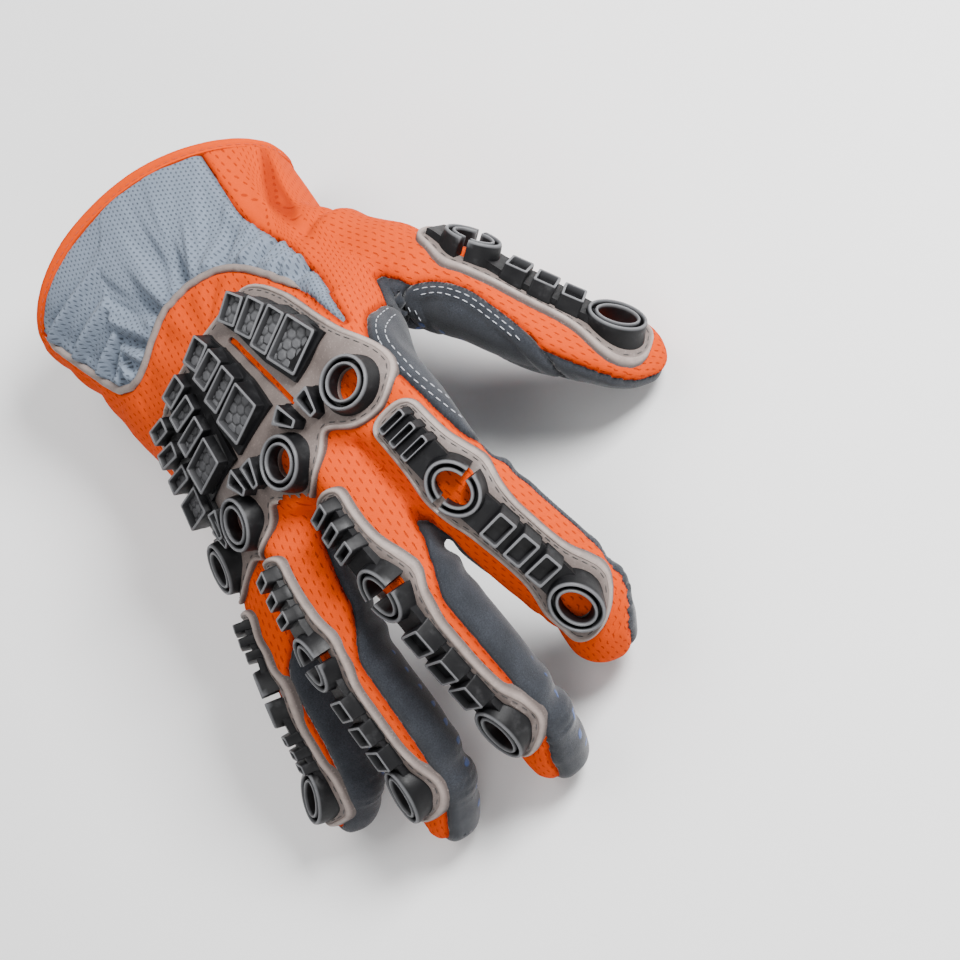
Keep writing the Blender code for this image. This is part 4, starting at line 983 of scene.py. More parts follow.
class GLOVE_OT_finger_guards(bpy.types.Operator):
    """Lays a stitched plate and its row of hollow blocks and rings along the back of each digit."""
    bl_idname = "glove.finger_guards"
    bl_label = "Finger guards"

    def execute(self, context):
        sizes = context.scene.glove_sizes
        for digit in DIGIT.values():
            start, split_at, end, cells, shift = GUARDS[digit.name]
            length = digit.length[-1]
            start, split_at, end = start * length, split_at * length, end * length
            shift = shift * FINGER_WIDTH
            stop = end + RING_LENGTH / 2
            size = DIGITS[digit.name][3] if digit.name in DIGITS else 1.0

            def place_at(along, over, digit=digit, shift=shift):
                """Centre line point moved sideways, with the digit's up direction."""
                centre, up, side, ahead = digit.frame(along)
                return centre + side * (over + shift)[..., None], up

            seat = Seat(place_at, (start - 0.005, stop + 0.005), (-0.0112, 0.0112), (70, 25))
            outline = digit_outline(start, split_at, end, size)
            base, guard = Pieces(), Pieces()
            plate(base, seat, outline)
            base.piece(digit.name + "_plate", STATE["looks"]["taupe"], [digit.name + "_base"], "taupe_rubber")

            high = sizes.block_height * FINGER_BLOCKS
            spans = [(split_at + RING_LENGTH / 2 + BLOCK_GAP, end - RING_LENGTH / 2, 3)]
            if cells:
                spans.insert(0, (start, split_at - RING_LENGTH / 2, cells))
            for begin, finish, count in spans:
                pitch = (finish - begin) / count
                for cell in range(count):
                    middle = begin + (cell + 0.5) * pitch - BLOCK_GAP / 2
                    block(guard, seat, (middle, 0.0), (pitch - BLOCK_GAP) / 2, 4.85 * MM * size, height=high)
            half_long, half_wide = RING_LENGTH / 2, RING_WIDTH / 2 * size
            ring(guard, seat, (split_at, 0.0), half_long - 0.0003, half_wide, height=high + 0.0003,
                 spans=((-90 + 8, 90 - 8), (90 + 8, 270 - 8)))
            ring(guard, seat, (end, 0.0), half_long, half_wide, height=high + 0.0003)
            low = stop - 0.0135
            for a, b in ((start, split_at - 0.0052), (split_at + 0.0052, low)):
                along = np.linspace(a, b, 40)
                half = 4.3 * MM * size
                across = np.tile([-half, half, half, -half], (len(along), 1))
                lift = np.tile([0.0004, 0.0004, 0.0029, 0.0029], (len(along), 1))
                guard.loft(seat.points(along[:, None] + 0 * across, across, lift))
            guard.piece(digit.name + "_blocks", STATE["looks"]["rubber"], [digit.name + "_guard"],
                        "black_rubber")

            threads = Pieces()
            threads.dashes(*contour(seat, outline, 1.75 * MM, STITCH_HEIGHT, sizes.stitch_pitch),
                           sizes.stitch_length, THREAD)
            threads.piece(digit.name + "_stitches", STATE["looks"]["thread"], slot="taupe_rubber")
        return {"FINISHED"}


SPINE_RAYS, CAP_RAYS = 150, 60


def knuckle_outline(rings, wrists):
    """Outline of the knuckle plate: where rays from a spine across the columns leave the smooth union of its
    ring discs and its columns. Gives the outline and the ray origins."""
    middles = rings * 0.55 + wrists * 0.45
    at = np.linspace(0, len(rings) - 1, SPINE_RAYS)
    spine = np.stack([np.interp(at, np.arange(len(rings)), middles[:, k]) for k in range(2)], axis=1)
    heading = np.arctan2(*(rings - wrists).T[::-1])
    heading = np.interp(at, np.arange(len(rings)), heading)
    cap = np.linspace(0, pi, CAP_RAYS + 2)[1:-1]
    angle = np.concatenate([heading, heading[-1] + cap, heading[::-1] + pi, heading[0] + pi + cap])
    origins = np.concatenate([spine, np.repeat(spine[-1:], CAP_RAYS, axis=0), spine[::-1],
                              np.repeat(spine[:1], CAP_RAYS, axis=0)])
    ahead = np.stack([np.cos(angle), np.sin(angle)], axis=1)
    reach = np.linspace(0.0, 0.060, 300)
    points = (origins[:, None] + ahead[:, None] * reach[None, :, None]).reshape(-1, 2)
    parts = [KNUCKLE_DISC - np.linalg.norm(points - place, axis=1) for place in rings]
    side = unit(wrists[-1:] - wrists[:1])[0]
    back = np.array([-0.0024, 0.0])
    corners = [wrists[0] + back - side * 0.0085, *[wrist + back for wrist in wrists[1:-1]], wrists[-1] + back
               + side * 0.0062,
               rings[-1] + (0.000, 0.0095), rings[-1] + (0.001, 0.0),
               *[place + (0.0005, 0.0) for place in rings[-2:0:-1]],
               rings[0] + (0.001, 0.0), rings[0] - (0.000, 0.0098)]
    parts.append(outline_distance(points, corners))
    soft = 0.0018
    field = soft * np.log(np.exp(np.clip(np.array(parts) / soft, -60, 60)).sum(0))
    field = field.reshape(len(angle), len(reach))
    outside = field < 0
    last = np.maximum(np.where(outside.any(1), outside.argmax(1), len(reach) - 1), 1)
    row = np.arange(len(angle))
    low, high = field[row, last - 1], field[row, last]
    share = np.clip(low / np.maximum(low - high, 1e-9), 0, 1)
    radius = reach[last - 1] + share * (reach[last] - reach[last - 1])
    for again in range(4):
        radius = (radius + np.roll(radius, 1) + np.roll(radius, -1)) / 3
    return origins + ahead * radius[:, None], origins


def column_room(k, rings, wrists, axis, run, reach):
    """Distances across from places on a column to the centre lines of the columns beside it."""
    room = []
    for other in (k - 1, k + 1):
        if 0 <= other < len(rings):
            beside = wrists[other] + (rings[other] - wrists[other]) * (run / reach)[..., None]
            away = beside - (wrists[k] + axis * run[..., None])
            room.append(abs(axis[0] * away[..., 1] - axis[1] * away[..., 0]))
    return room


def hexes(along, over, pitch):
    """Distance to the border of the nearest hexagon of a honeycomb, as a share of its half width."""
    best = np.full(along.shape, np.inf)
    third = np.full(along.shape, np.inf)
    root = 3 ** 0.5
    for shift in (0.0, 0.5):
        a = (along / pitch / root + shift)
        o = (over / pitch + shift)
        a = (a - np.round(a)) * root
        o = o - np.round(o)
        size = np.maximum(abs(o), abs(a) * root / 2 + abs(o) / 2)
        third = np.minimum(third, size)
        best = np.minimum(best, size)
    return 1 - best * 2


class GLOVE_OT_knuckle_guard(bpy.types.Operator):
    """Lays the scalloped knuckle plate and its four fanned columns of pads with a ring at each knuckle."""
    bl_idname = "glove.knuckle_guard"
    bl_label = "Knuckle guard"

    def execute(self, context):
        sizes = context.scene.glove_sizes
        seat = Seat(HAND.above, (-0.60 * CUFF_TO_KNUCKLE, 0.14 * CUFF_TO_KNUCKLE),
                    (-0.52 * HAND_WIDTH, 0.55 * HAND_WIDTH),
                    (60, 64))
        knuckles = np.array(KNUCKLES) * (HAND_WIDTH, CUFF_TO_KNUCKLE, HAND_WIDTH, CUFF_TO_KNUCKLE)
        rings, wrists = knuckles[:, [1, 0]], knuckles[:, [3, 2]]
        outline, origins = knuckle_outline(rings, wrists)
        base = Pieces()
        rows = list(PLATE_ROWS[1:])
        loops = [seat.points(*drawn_in(outline, inset * MM).T, height * MM) for inset, height, lip in rows]
        lips = [lip for inset, height, lip in rows]
        inner = drawn_in(outline, rows[-1][0] * MM)
        flat = [drawn_in(outline, inset * MM) for inset, height, lip in rows]
        for share in np.linspace(0.98, 0.02, 46):
            spot = origins + (inner - origins) * share
            flat.append(spot)
            loops.append(seat.points(*spot.T, 1.12 * MM))
            lips.append(0.25)
        points = np.array(loops)
        table = np.column_stack([points.reshape(-1, 3), np.repeat(lips, len(outline)),
                                 np.array(flat).reshape(-1, 2)])
        quads = wrap_quads(len(loops), len(outline))
        last = (len(loops) - 1) * len(outline)
        i = np.arange(SPINE_RAYS - 1)
        far = 2 * SPINE_RAYS + CAP_RAYS - 1 - i
        quads = np.concatenate([quads, np.stack([i, i + 1, far - 1, far], axis=1) + last])
        tris = np.concatenate([quads[:, [0, 1, 2]], quads[:, [0, 2, 3]]])
        for pivot in (SPINE_RAYS - 1, 2 * SPINE_RAYS + CAP_RAYS - 1):
            j = np.arange(pivot + 1, pivot + CAP_RAYS + 1)
            tris = np.concatenate([tris, np.stack([0 * j + pivot, j, (j + 1) % len(outline)], axis=1) + last])
        heel, toe = (wrists[0] + wrists[1]) / 2, (rings[0] + rings[1]) / 2
        start, finish = heel + (toe - heel) * 0.80, heel + (toe - heel) * 0.16
        away, run = line_distance(table[:, 4:6], np.array([finish, start]))
        bore = np.min([np.linalg.norm(table[:, 4:6] - place, axis=1) for place in rings], axis=0)
        table = np.column_stack([table, np.minimum(away - SLOT_HALF, bore - PLATE_BORE)])
        table, tris = split(table, tris, 6, 0.00002)
        tris = tris[table[tris][:, :, 6].sum(1) > 0]
        used, corner = np.unique(tris, return_inverse=True)
        table, tris = table[used], corner.reshape(-1, 3)
        ups = seat.ups(table[:, 4], table[:, 5])
        edge = np.concatenate([tris[:, [0, 1]], tris[:, [1, 2]], tris[:, [2, 0]]])
        key = np.sort(edge, axis=1)
        key = key[:, 0].astype(np.int64) * len(table) + key[:, 1]
        names, first, times = np.unique(key, return_index=True, return_counts=True)
        rim = edge[first[times == 1]]
        under = table[:, :3] - ups * 0.0016
        walls = np.column_stack([rim[:, 1], rim[:, 0], rim[:, 0] + len(table), rim[:, 1] + len(table)])
        base.add(np.concatenate([table[:, :3], under]), walls,
                 np.concatenate([tris, tris[:, ::-1] + len(table)]),
                 np.concatenate([table[:, 3], 0 * table[:, 3]]))
        base.piece("knuckle_plate", STATE["looks"]["taupe"], ["knuckle_base"], "taupe_rubber")

        threads = Pieces()
        threads.dashes(*contour(seat, outline, 1.8 * MM, STITCH_HEIGHT, sizes.stitch_pitch),
                       sizes.stitch_length, 0.00018)
        threads.piece("knuckle_stitches", STATE["looks"]["thread"], slot="taupe_rubber")

        guard = Pieces()
        radius = KNUCKLE_RING / 2
        for k, (place, wrist) in enumerate(zip(rings, wrists)):
            reach = np.linalg.norm(place - wrist)
            axis = (place - wrist) / reach
            side = np.array([-axis[1], axis[0]])
            turn = np.arctan2(axis[1], axis[0])
            begins = np.concatenate([[0.0], np.cumsum(PAD_PITCH)]) * reach
            for begin, finish in zip(begins, begins[1:]):
                middle = (begin + finish - BLOCK_GAP) / 2
                room = column_room(k, rings, wrists, axis, np.array(middle), reach)
                half = (min(room + [PAD_WIDTH + 0.0015]) - BLOCK_GAP) / 2
                spot = wrist + axis * middle
                if k < 2:
                    half -= 0.0007
                    spot = spot + side * (PAD_SHIFT if k else -PAD_SHIFT)
                half_long = (finish - BLOCK_GAP - begin) / 2 - 0.00035
                block(guard, seat, spot, half_long, half, turn=turn, shoulder=0.45,
                      height=sizes.block_height, floor=sizes.block_height - 0.0030)
                count = (int(half_long / 0.00016), int(half / 0.00022))
                a, o = np.meshgrid(np.linspace(-1, 1, count[0]) * (half_long - 0.0007),
                                   np.linspace(-1, 1, count[1]) * (half - 0.0010), indexing="ij")
                relief = step(0.06, 0.22, hexes(a + 0.0009 * k, o + 0.0006, 0.0031))
                along = a * cos(turn) - o * sin(turn) + spot[0]
                over = a * sin(turn) + o * cos(turn) + spot[1]
                high = sizes.block_height
                floor = raised(seat, along, over, high - 0.0024 + 0.0004 * relief, spot, high)
                lower = raised(seat, along, over, high - 0.0030 + 0 * relief, spot, high)
                lines, columns = floor.shape[:2]
                quads = wrap_quads(lines, columns, around=False)
                total = lines * columns
                grid = np.arange(total).reshape(lines, columns)
                loop = np.concatenate([grid[0, :-1], grid[:-1, -1], grid[-1, :0:-1], grid[:0:-1, 0]])
                after = np.roll(loop, -1)
                walls = np.column_stack([loop, after, after + total, loop + total])
                guard.add(np.concatenate([floor.reshape(-1, 3), lower.reshape(-1, 3)]),
                          np.concatenate([quads, quads[:, ::-1] + total, walls]),
                          rim=np.concatenate([0.30 + 0.28 * relief.ravel(), np.zeros(total)]))
            ring(guard, seat, place, radius, radius, height=sizes.block_height + 0.0001)
            for sign in (-1, 1):
                if 0 <= k + sign < len(rings) or (k == 3 and sign == 1):
                    spot = place - axis * 0.0062 + side * sign * 0.0080
                    block(guard, seat, spot, 0.0040, 0.0023, turn=turn + sign * 0.35, shoulder=0.35,
                          height=sizes.block_height - 0.0004, taper=0.45)
            along = np.linspace(0.0006, begins[-1] - BLOCK_GAP + 0.0007, 60)
            room = column_room(k, rings, wrists, axis, along, reach)
            wide = np.minimum(np.min(room, axis=0), PAD_WIDTH + 0.0015) / 2
            low_side = wide - 0.0014 if k == 0 else wide + 0.0004
            high_side = wide - 0.0014 if k == 3 else (wide - 0.0022 if k == 0 else wide + 0.0004)
            low_side = wide - 0.0022 if k == 1 else low_side
            across = np.stack([-low_side, high_side, high_side, -low_side], axis=1)
            lift = np.array([0.0004, 0.0004, 0.0024, 0.0024])
            a = wrist[0] + axis[0] * along[:, None] + side[0] * across
            o = wrist[1] + axis[1] * along[:, None] + side[1] * across
            guard.loft(seat.points(a, o, lift + 0 * a))
        guard.piece("knuckle_blocks", STATE["looks"]["rubber"], ["knuckle_guard"], "black_rubber")
        return {"FINISHED"}


def on_skin(places, ups, reach=0.018):
    """Nearest cloth points below places, and the cloth's normals there."""
    hits = [STATE["skin"].ray_cast(Vector(place + up * reach), Vector(-up), 0.06)
            for place, up in zip(places, ups)]
    near = [hit if hit[0] is not None else STATE["skin"].find_nearest(Vector(place))
            for hit, place in zip(hits, places)]
    return np.array([hit[0] for hit in near]), np.array([hit[1] for hit in near])


class GLOVE_OT_trim(bpy.types.Operator):
    """Makes the rolled hem, the piping, the pull tab and the seam stitches."""
    bl_idname = "glove.trim"
    bl_label = "Hem, piping, tab and stitches"

    def execute(self, context):
        sizes = context.scene.glove_sizes
        self.make_hem(sizes)
        self.make_piping(sizes)
        self.make_tab(sizes)
        self.make_patch_stitches()
        return {"FINISHED"}

    @staticmethod
    def wrist(turn, share, inset):
        """Places round the cuff edge, at a share of the hem's width and an inset from the outside."""
        y = np.full(turn.shape, -CUFF_TO_KNUCKLE)
        for again in range(4):
            place, across, lift = HAND.outline(y, turn, inset)
            y = cuff_line(across, lift) + share * (CUFF_HEM_WIDTH - 0.0002)
        place[..., 2] = np.maximum(place[..., 2], np.maximum(inset, 0.0))
        return place

    def make_hem(self, sizes):
        """Rolled hem: a rounded band profile carried round the cuff edge."""
        turn = (np.linspace(0, tau, 320, endpoint=False))[:, None]
        profile = np.array(((0.0, 0.5), (0.03, 0.12), (0.18, -0.10), (0.42, -0.16), (0.60, -0.10),
                            (0.68, 0.02), (0.80, 0.04),
                            (0.97, 0.02), (1.02, 0.3), (1.0, 1.0), (0.7, 1.02), (0.3, 1.0), (0.05, 0.85)))
        inset = profile[None, :, 1] * sizes.hem_roll * 0.85
        share = profile[None, :, 0] + 0 * turn
        wave = 1 + 0.06 * np.sin(turn * 31 + 2 * np.sin(turn * 7))
        hem = Pieces()
        hem.loft(self.wrist(turn + 0 * share, share, inset * wave), loop=True)
        hem.piece("cuff_roll", STATE["looks"]["hem"], ["cuff_hem"], "orange_knit", sharp=70)
        ring_ = self.wrist(np.linspace(0, tau, 900), 0.74 + 0 * np.linspace(0, tau, 900), -0.00005)
        steps = run_length(ring_)
        at = np.arange(0.001, steps[-1], 0.0026)
        spots = [at_lengths(at + move, steps, ring_) for move in (-MM / 2, 0, MM / 2)]
        middle = ring_.mean(0)
        threads = Pieces()
        threads.dashes(spots[1], spots[2] - spots[0], spots[1] - middle, 0.0017, 0.00016)
        threads.piece("hem_stitches", STATE["looks"]["orange_thread"], slot="orange_knit")

    def make_piping(self, sizes):
        """Piping: a round profile carried along the hand's border of the cuff panel."""
        count = 260
        steps = run_length(ELASTIC)
        at = np.linspace(0.0, steps[-1], count)
        line = at_lengths(at, steps, ELASTIC)
        for again in range(30):
            line[1:-1] = (line[:-2] + line[2:] + 2 * line[1:-1]) / 4
        place, up = HAND.above(line[:, 1], line[:, 0])
        path, normal = on_skin(place, up)
        for again in range(6):
            path[1:-1] = (path[:-2] + path[2:] + 2 * path[1:-1]) / 4
            normal[1:-1] = (normal[:-2] + normal[2:] + 2 * normal[1:-1]) / 4
        ahead = unit(np.gradient(path, axis=0))
        up = unit(normal - ahead * (normal * ahead).sum(1, keepdims=True))
        over = np.cross(ahead, up)
        turn = np.arange(14) * tau / 14
        thick = (sizes.piping_radius * (1 - 0.9 * hill(at, 0.003)
                                        - 0.9 * hill(at - steps[-1], 0.003))[:, None, None])
        rows = ((path + up * sizes.piping_radius * 0.75)[:, None]
                + thick * (np.cos(turn)[None, :, None] * over[:, None] * 1.15
                                                                              + np.sin(turn)[None, :, None]
                                                                              * up[:, None]))
        cord = Pieces()
        cord.loft(rows, rim=0.6)
        cord.piece("piping_cord", STATE["looks"]["trim"], ["piping"], "taupe_trim", sharp=80)

    def make_tab(self, sizes):
        """Pull tab: a round-ended outline drawn in over a rounded edge, with a plain raised ring on it."""
        side = float(HAND.at(-CUFF_TO_KNUCKLE)[0])
        back = float(cuff_line(0.0, -HAND_THICKNESS / 2)) - TAB_REACH
        half = TAB_WIDTH / 2
        turn = np.linspace(-pi / 2, pi / 2, 40)
        nose = np.stack([back + half - half * np.cos(turn) ** 0.8, half * np.sin(turn)], axis=1)
        far = back + TAB_LENGTH
        outline = np.concatenate([nose, [(far - 0.004, half), (far - 0.001, half - 0.001),
                                         (far, half - 0.004),
                                         (far, 4 * MM - half), (far - 0.001, 0.001 - half),
                                         (far - 0.004, -half)]])
        ahead = np.concatenate([outline, outline[:1]])
        outline = closed_half(ahead, 161)[:-1]
        area = (outline[:, 0] * np.roll(outline[:, 1], -1) - outline[:, 1] * np.roll(outline[:, 0], -1)).sum()
        outline = outline if area > 0 else outline[::-1]
        base = 0.0018 + TAB_SEAT

        class Flat:
            """The tab's plane, read as a seat."""

            @staticmethod
            def points(along, over, height):
                """Along and over are Y and X on the palm."""
                along, over, height = np.broadcast_arrays(along, over, height)
                return np.stack([side + over, along, base + height], axis=-1)

            @staticmethod
            def ups(along, over):
                """Straight up."""
                return np.stack([0 * along, 0 * along, 0 * along + 1], axis=-1)

            @staticmethod
            def place_at(along, over):
                """Places and ups."""
                return Flat.points(along, over, 0.0), Flat.ups(along, over)

        tab = Pieces()
        rows = ((0.25, 0.0, 0), (0.0, 0.3, 0), (0.0, 1.5, 0.3), (0.2, 1.95, 1), (0.55, 2.15, 1),
                (1.0, 2.1, 0.8), (1.25, 1.75, 0.3),
                (2.6, 1.7, 0.2), (6.0, 1.7, 0.2), (8.5, 1.75, 0.2))
        loops = [Flat.points(*drawn_in(outline, inset * MM).T, height * MM) for inset, height, lip in rows]
        tab.loft(np.array(loops), np.array([lip for inset, height, lip in rows]))
        ring(tab, Flat, (back + half, 0.0), 0.0062, 0.0062, height=0.0022)
        tab.piece("tab_plate", STATE["looks"]["taupe"], ["pull_tab"], "taupe_rubber")
        threads = Pieces()
        threads.dashes(*contour(Flat, outline, 2.0 * MM, 0.00172, 0.0026), sizes.stitch_length, 0.00016)
        threads.piece("tab_stitches", STATE["looks"]["thread"], slot="taupe_rubber")

    def make_patch_stitches(self):
        """Double row of stitches inside the border of the crotch patch."""
        loop = closed_half(np.concatenate([PATCH_LINE, PATCH_LINE[:1]]), 400)[:-1]
        area = (loop[:, 0] * np.roll(loop[:, 1], -1) - loop[:, 1] * np.roll(loop[:, 0], -1)).sum()
        loop = loop if area > 0 else loop[::-1]
        threads = Pieces()
        for inset in PATCH_INSETS:
            line = drawn_in(loop, inset)
            line = np.concatenate([line, line[:1]])
            high = np.column_stack([line, 0 * line[:, 0] + 0.05])
            path, normal = on_skin(high, np.tile([0.0, 0.0, 1.0], (len(high), 1)), 0.05)
            steps = run_length(path)
            at = np.arange(0.001, steps[-1], PATCH_PITCH)
            spots = [at_lengths(at + move, steps, path)
                     for move in (-MM / 2, 0, MM / 2)]
            out = at_lengths(at, steps, normal)
            jump = np.interp(at, steps[1:], np.diff(steps))
            heading = unit(spots[2] - spots[0])
            bend = np.minimum((heading * np.roll(heading, 1, axis=0)).sum(1),
                              (heading * np.roll(heading, -1, axis=0)).sum(1))
            good = ((spots[1][:, 2] > PATCH_FLOOR
                     + 0.002) & (out[:, 2] > 0.15) & (jump < 0.0018) & (bend > 0.75))
            threads.dashes(spots[1][good] + unit(out[good]) * 0.0001, (spots[2] - spots[0])[good], out[good],
                           PATCH_STITCH, THREAD)
        threads.piece("patch_stitches", STATE["looks"]["light_thread"], slot="grey_suede")


# Materials.
class Value:
    """A shader socket that Python's operators work on: each one adds a Math node."""

    def __init__(self, look, socket):
        self.look, self.socket = look, socket

    def math(self, operation, *others, first=None):
        """A Math node on this value, or on first and this value."""
        inputs = (self, *others) if first is None else (first, self)
        return self.look.node("ShaderNodeMath", {"operation": operation}, dict(enumerate(inputs)))

    def __add__(self, other):
        return self.math("ADD", other)

    def __sub__(self, other):
        return self.math("SUBTRACT", other)

    def __rsub__(self, other):
        return self.math("SUBTRACT", first=other)

    def __mul__(self, other):
        return self.math("MULTIPLY", other)

    def __truediv__(self, other):
        return self.math("DIVIDE", other)

    __radd__, __rmul__ = __add__, __mul__

    def fract(self):
        """Part after the point."""
        return self.math("FRACT")

    def floor(self):
        """Part before the point."""
        return self.math("FLOOR")

    def sine(self):
        """Sine in radians."""
        return self.math("SINE")

    def size(self):
        """Value without its sign."""
        return self.math("ABSOLUTE")

    def root(self):
        """Square root."""
        return self.math("SQRT")

    def step(self, low, high):
        """Rises smoothly from 0 at low to 1 at high."""
        return self.look.node("ShaderNodeMapRange", {"interpolation_type": "SMOOTHSTEP"},
                              {"Value": self, "From Min": low, "From Max": high})


class Look:
    """One procedural material and the nodes in it."""

    def __init__(self, name, roughness, **constants):
        self.material = bpy.data.materials.new(name)
        self.material.use_nodes = True
        self.tree = self.material.node_tree
        self.shader = self.tree.nodes["Principled BSDF"]
        self.shader.inputs["Roughness"].default_value = roughness
        for socket, value in constants.items():
            self.shader.inputs[socket.replace("_", " ")].default_value = value

    def node(self, kind, settings=None, inputs=None, output=0):
        """A node of that kind: settings first, then its sockets' values or links."""
        made = self.tree.nodes.new(kind)
        for name, value in (settings or {}).items():
            setattr(made, name, value)
        for name, value in (inputs or {}).items():
            if isinstance(value, Value):
                self.tree.links.new(value.socket, made.inputs[name])
            else:
                made.inputs[name].default_value = value
        return Value(self, made.outputs[output])

    def mix(self, factor, first, second):
        """Colour between two colours."""
        wide = [value if isinstance(value, Value) else (*value, 1.0) for value in (first, second)]
        return self.node("ShaderNodeMix", {"data_type": "RGBA"}, {0: factor, 6: wide[0], 7: wide[1]},
                         output=2)

    def noise(self, vector, scale, detail=2.0, roughness=0.5):
        """Noise from 0 to 1."""
        return self.node("ShaderNodeTexNoise", None, {"Vector": vector, "Scale": scale, "Detail": detail,
                                                      "Roughness": roughness})

    def point(self):
        """Object coordinates."""
        return self.node("ShaderNodeTexCoord", output=3)

    def cloth(self):
        """Millimetres along and around the limb, from the piece's own UV map."""
        vector = self.node("ShaderNodeUVMap", {"uv_map": "cloth"})
        parts = self.node("ShaderNodeSeparateXYZ", None, {0: vector})
        return parts, Value(self, parts.socket.node.outputs[1])

    def attribute(self, name):
        """A value stored on the piece."""
        return self.node("ShaderNodeAttribute", {"attribute_name": name}, output=2)

    def finish(self, colour_value=None, roughness=None, bumps=()):
        """Links colour, roughness and bumps (height, strength, distance) to the shader."""
        if colour_value is not None:
            self.tree.links.new(colour_value.socket, self.shader.inputs["Base Color"])
        if roughness is not None:
            self.tree.links.new(roughness.socket, self.shader.inputs["Roughness"])
        normal = None
        for height, strength, distance in bumps:
            inputs = {"Height": height, "Strength": strength, "Distance": distance}
            if normal is not None:
                inputs["Normal"] = normal
            normal = self.node("ShaderNodeBump", None, inputs)
        if normal is not None:
            self.tree.links.new(normal.socket, self.shader.inputs["Normal"])
        return self.material


def scaled(values, factor):
    """A colour made lighter or darker."""
    return tuple(min(1.0, value * factor) for value in values)


def dash_grid(along, around, pitch, size):
    """Staggered ovals: 1 inside an oval of a grid whose every second row is moved by half a pitch."""
    row = (around / pitch[1]).floor()
    a = ((along / pitch[0] + row * 0.5).fract() - 0.5) * (pitch[0] / size[0])
    b = ((around / pitch[1]).fract() - 0.5) * (pitch[1] / size[1])
    return 1.0 - (a * a + b * b).root().step(0.6, 1.15)


def knit_look(colours, name, plain=False):
    """Orange knit: fine ribs, staggered small openings, slow changes of tone, and painted shade in the seam
    grooves.
    """
    look = Look(name, 0.85, Specular_IOR_Level=0.05)
    point = look.point()
    if plain:
        along = look.noise(point, 900.0)
        colour_value = look.mix(along, scaled(colours.orange, 0.86), colours.orange)
        return look.finish(colour_value, bumps=((along, 0.35, 0.0003),))
    along, around = look.cloth()
    dash = dash_grid(along, around, (2.9, 2.0), (0.80, 0.24))
    slow = look.noise(point, 55.0)
    fine = look.noise(point, 1500.0, 3.0)
    seam = look.attribute("seam").step(0.1, 1.4)
    rib = (around * (tau / 0.55)).sine() * 0.5 + 0.5
    loop = ((along * (tau / 0.75)).sine() * (around * (tau / 1.1)).sine()) * 0.5 + 0.5
    shade = look.mix(slow, scaled(colours.orange, 0.90), colours.orange)
    shade = look.mix(fine * 0.22, shade, scaled(colours.orange, 0.72))
    shade = look.mix(dash * 0.62, shade, colours.orange_dash)
    # Painted shade: the knit darkens in the seam grooves, within about a millimetre of each seam.
    shade = look.mix((1.0 - seam) * 0.7, shade, scaled(colours.orange_dash, 0.8))
    height = 1.0 - dash
    return look.finish(shade, bumps=((rib * 0.3 + loop * 0.7, 0.35, 0.00012), (height, 0.75, 0.00035)))


def suede_look(colours):
    """Grey suede: napped grain with patches of changed nap, painted shade in the seam grooves and printed
    dots under the palm."""
    look = Look("Grey suede", 0.92, Sheen_Weight=0.22, Sheen_Roughness=0.5, Specular_IOR_Level=0.1)
    point = look.point()
    along, around = look.cloth()
    grain = look.noise(point, 2600.0, 3.0, 0.65)
    nap = look.noise(point, 160.0, 3.0)
    shade = look.mix(nap.step(0.25, 0.75), scaled(colours.suede, 0.78), scaled(colours.suede, 1.25))
    shade = look.mix(grain.step(0.3, 0.72) * 0.7, shade, scaled(colours.suede, 0.42))
    shade = look.mix(look.noise(point, 3400.0, 2.0).step(0.62, 0.8) * 0.55, shade, scaled(colours.suede, 2.6))
    seam = look.attribute("seam").step(0.15, 0.8)
    # Painted shade: the suede darkens in the seam grooves.
    shade = look.mix((1.0 - seam) * 0.8, shade, scaled(colours.suede, 0.25))
    under = look.attribute("under").step(8.6, 9.2)
    dot = dash_grid(along, around, (5.4, 4.6), (0.9, 0.9))
    shade = look.mix(dot * under * 0.9, shade, colours.dot)
    return look.finish(shade, bumps=((grain, 0.5, 0.0002), (nap, 0.25, 0.0004), (dot * under, 0.5, 0.0002)))


def mesh_look(colours):
    """Blue-grey mesh: staggered small holes in a knitted ground with fine diagonal ribs, and painted shade in
    the seam grooves.
    """
    look = Look("Blue-grey mesh", 0.85, Sheen_Weight=0.12, Sheen_Roughness=0.4, Specular_IOR_Level=0.1)
    point = look.point()
    along, around = look.cloth()
    hole = dash_grid(along, around, (1.6, 1.1), (0.42, 0.25))
    fine = look.noise(point, 1300.0, 3.0)
    slow = look.noise(point, 90.0)
    weave = ((along * (tau / 0.5)).sine() * (around * (tau / 0.6)).sine()) * 0.5 + 0.5
    shade = look.mix(slow, scaled(colours.mesh, 0.85), scaled(colours.mesh, 1.12))
    shade = look.mix(fine * 0.35, shade, scaled(colours.mesh, 0.55))
    shade = look.mix(hole * 0.75, shade, scaled(colours.mesh, 0.30))
    seam = look.attribute("seam").step(0.1, 1.0)
    # Painted shade: the mesh darkens in the seam grooves.
    shade = look.mix((1.0 - seam) * 0.5, shade, scaled(colours.mesh, 0.35))
    return look.finish(shade, bumps=((weave, 0.35, 0.00012), (1.0 - hole, 0.8, 0.0003)))


def rubber_look(colours):
    """Black moulded rubber: a painted highlight on its edges from the rim value, fine grain and dull patches.
    """
    look = Look("Black rubber", 0.48, Specular_IOR_Level=0.20)
    point = look.point()
    rim = look.attribute("rim")
    grain = look.noise(point, 2200.0, 2.0)
    dust = look.noise(point, 210.0, 4.0, 0.6)
    # Painted highlight: the rim value mixes the black towards the rim colour along the top edges of blocks
    # and rings.
    shade = look.mix(rim, colours.rubber, colours.rim)
    shade = look.mix(dust.step(0.52, 0.8) * 0.35, shade, scaled(colours.rim, 0.45))
    rough = dust.step(0.2, 0.8) * 0.2 + 0.40
    return look.finish(shade, rough, bumps=((grain, 0.22, 0.0001),))


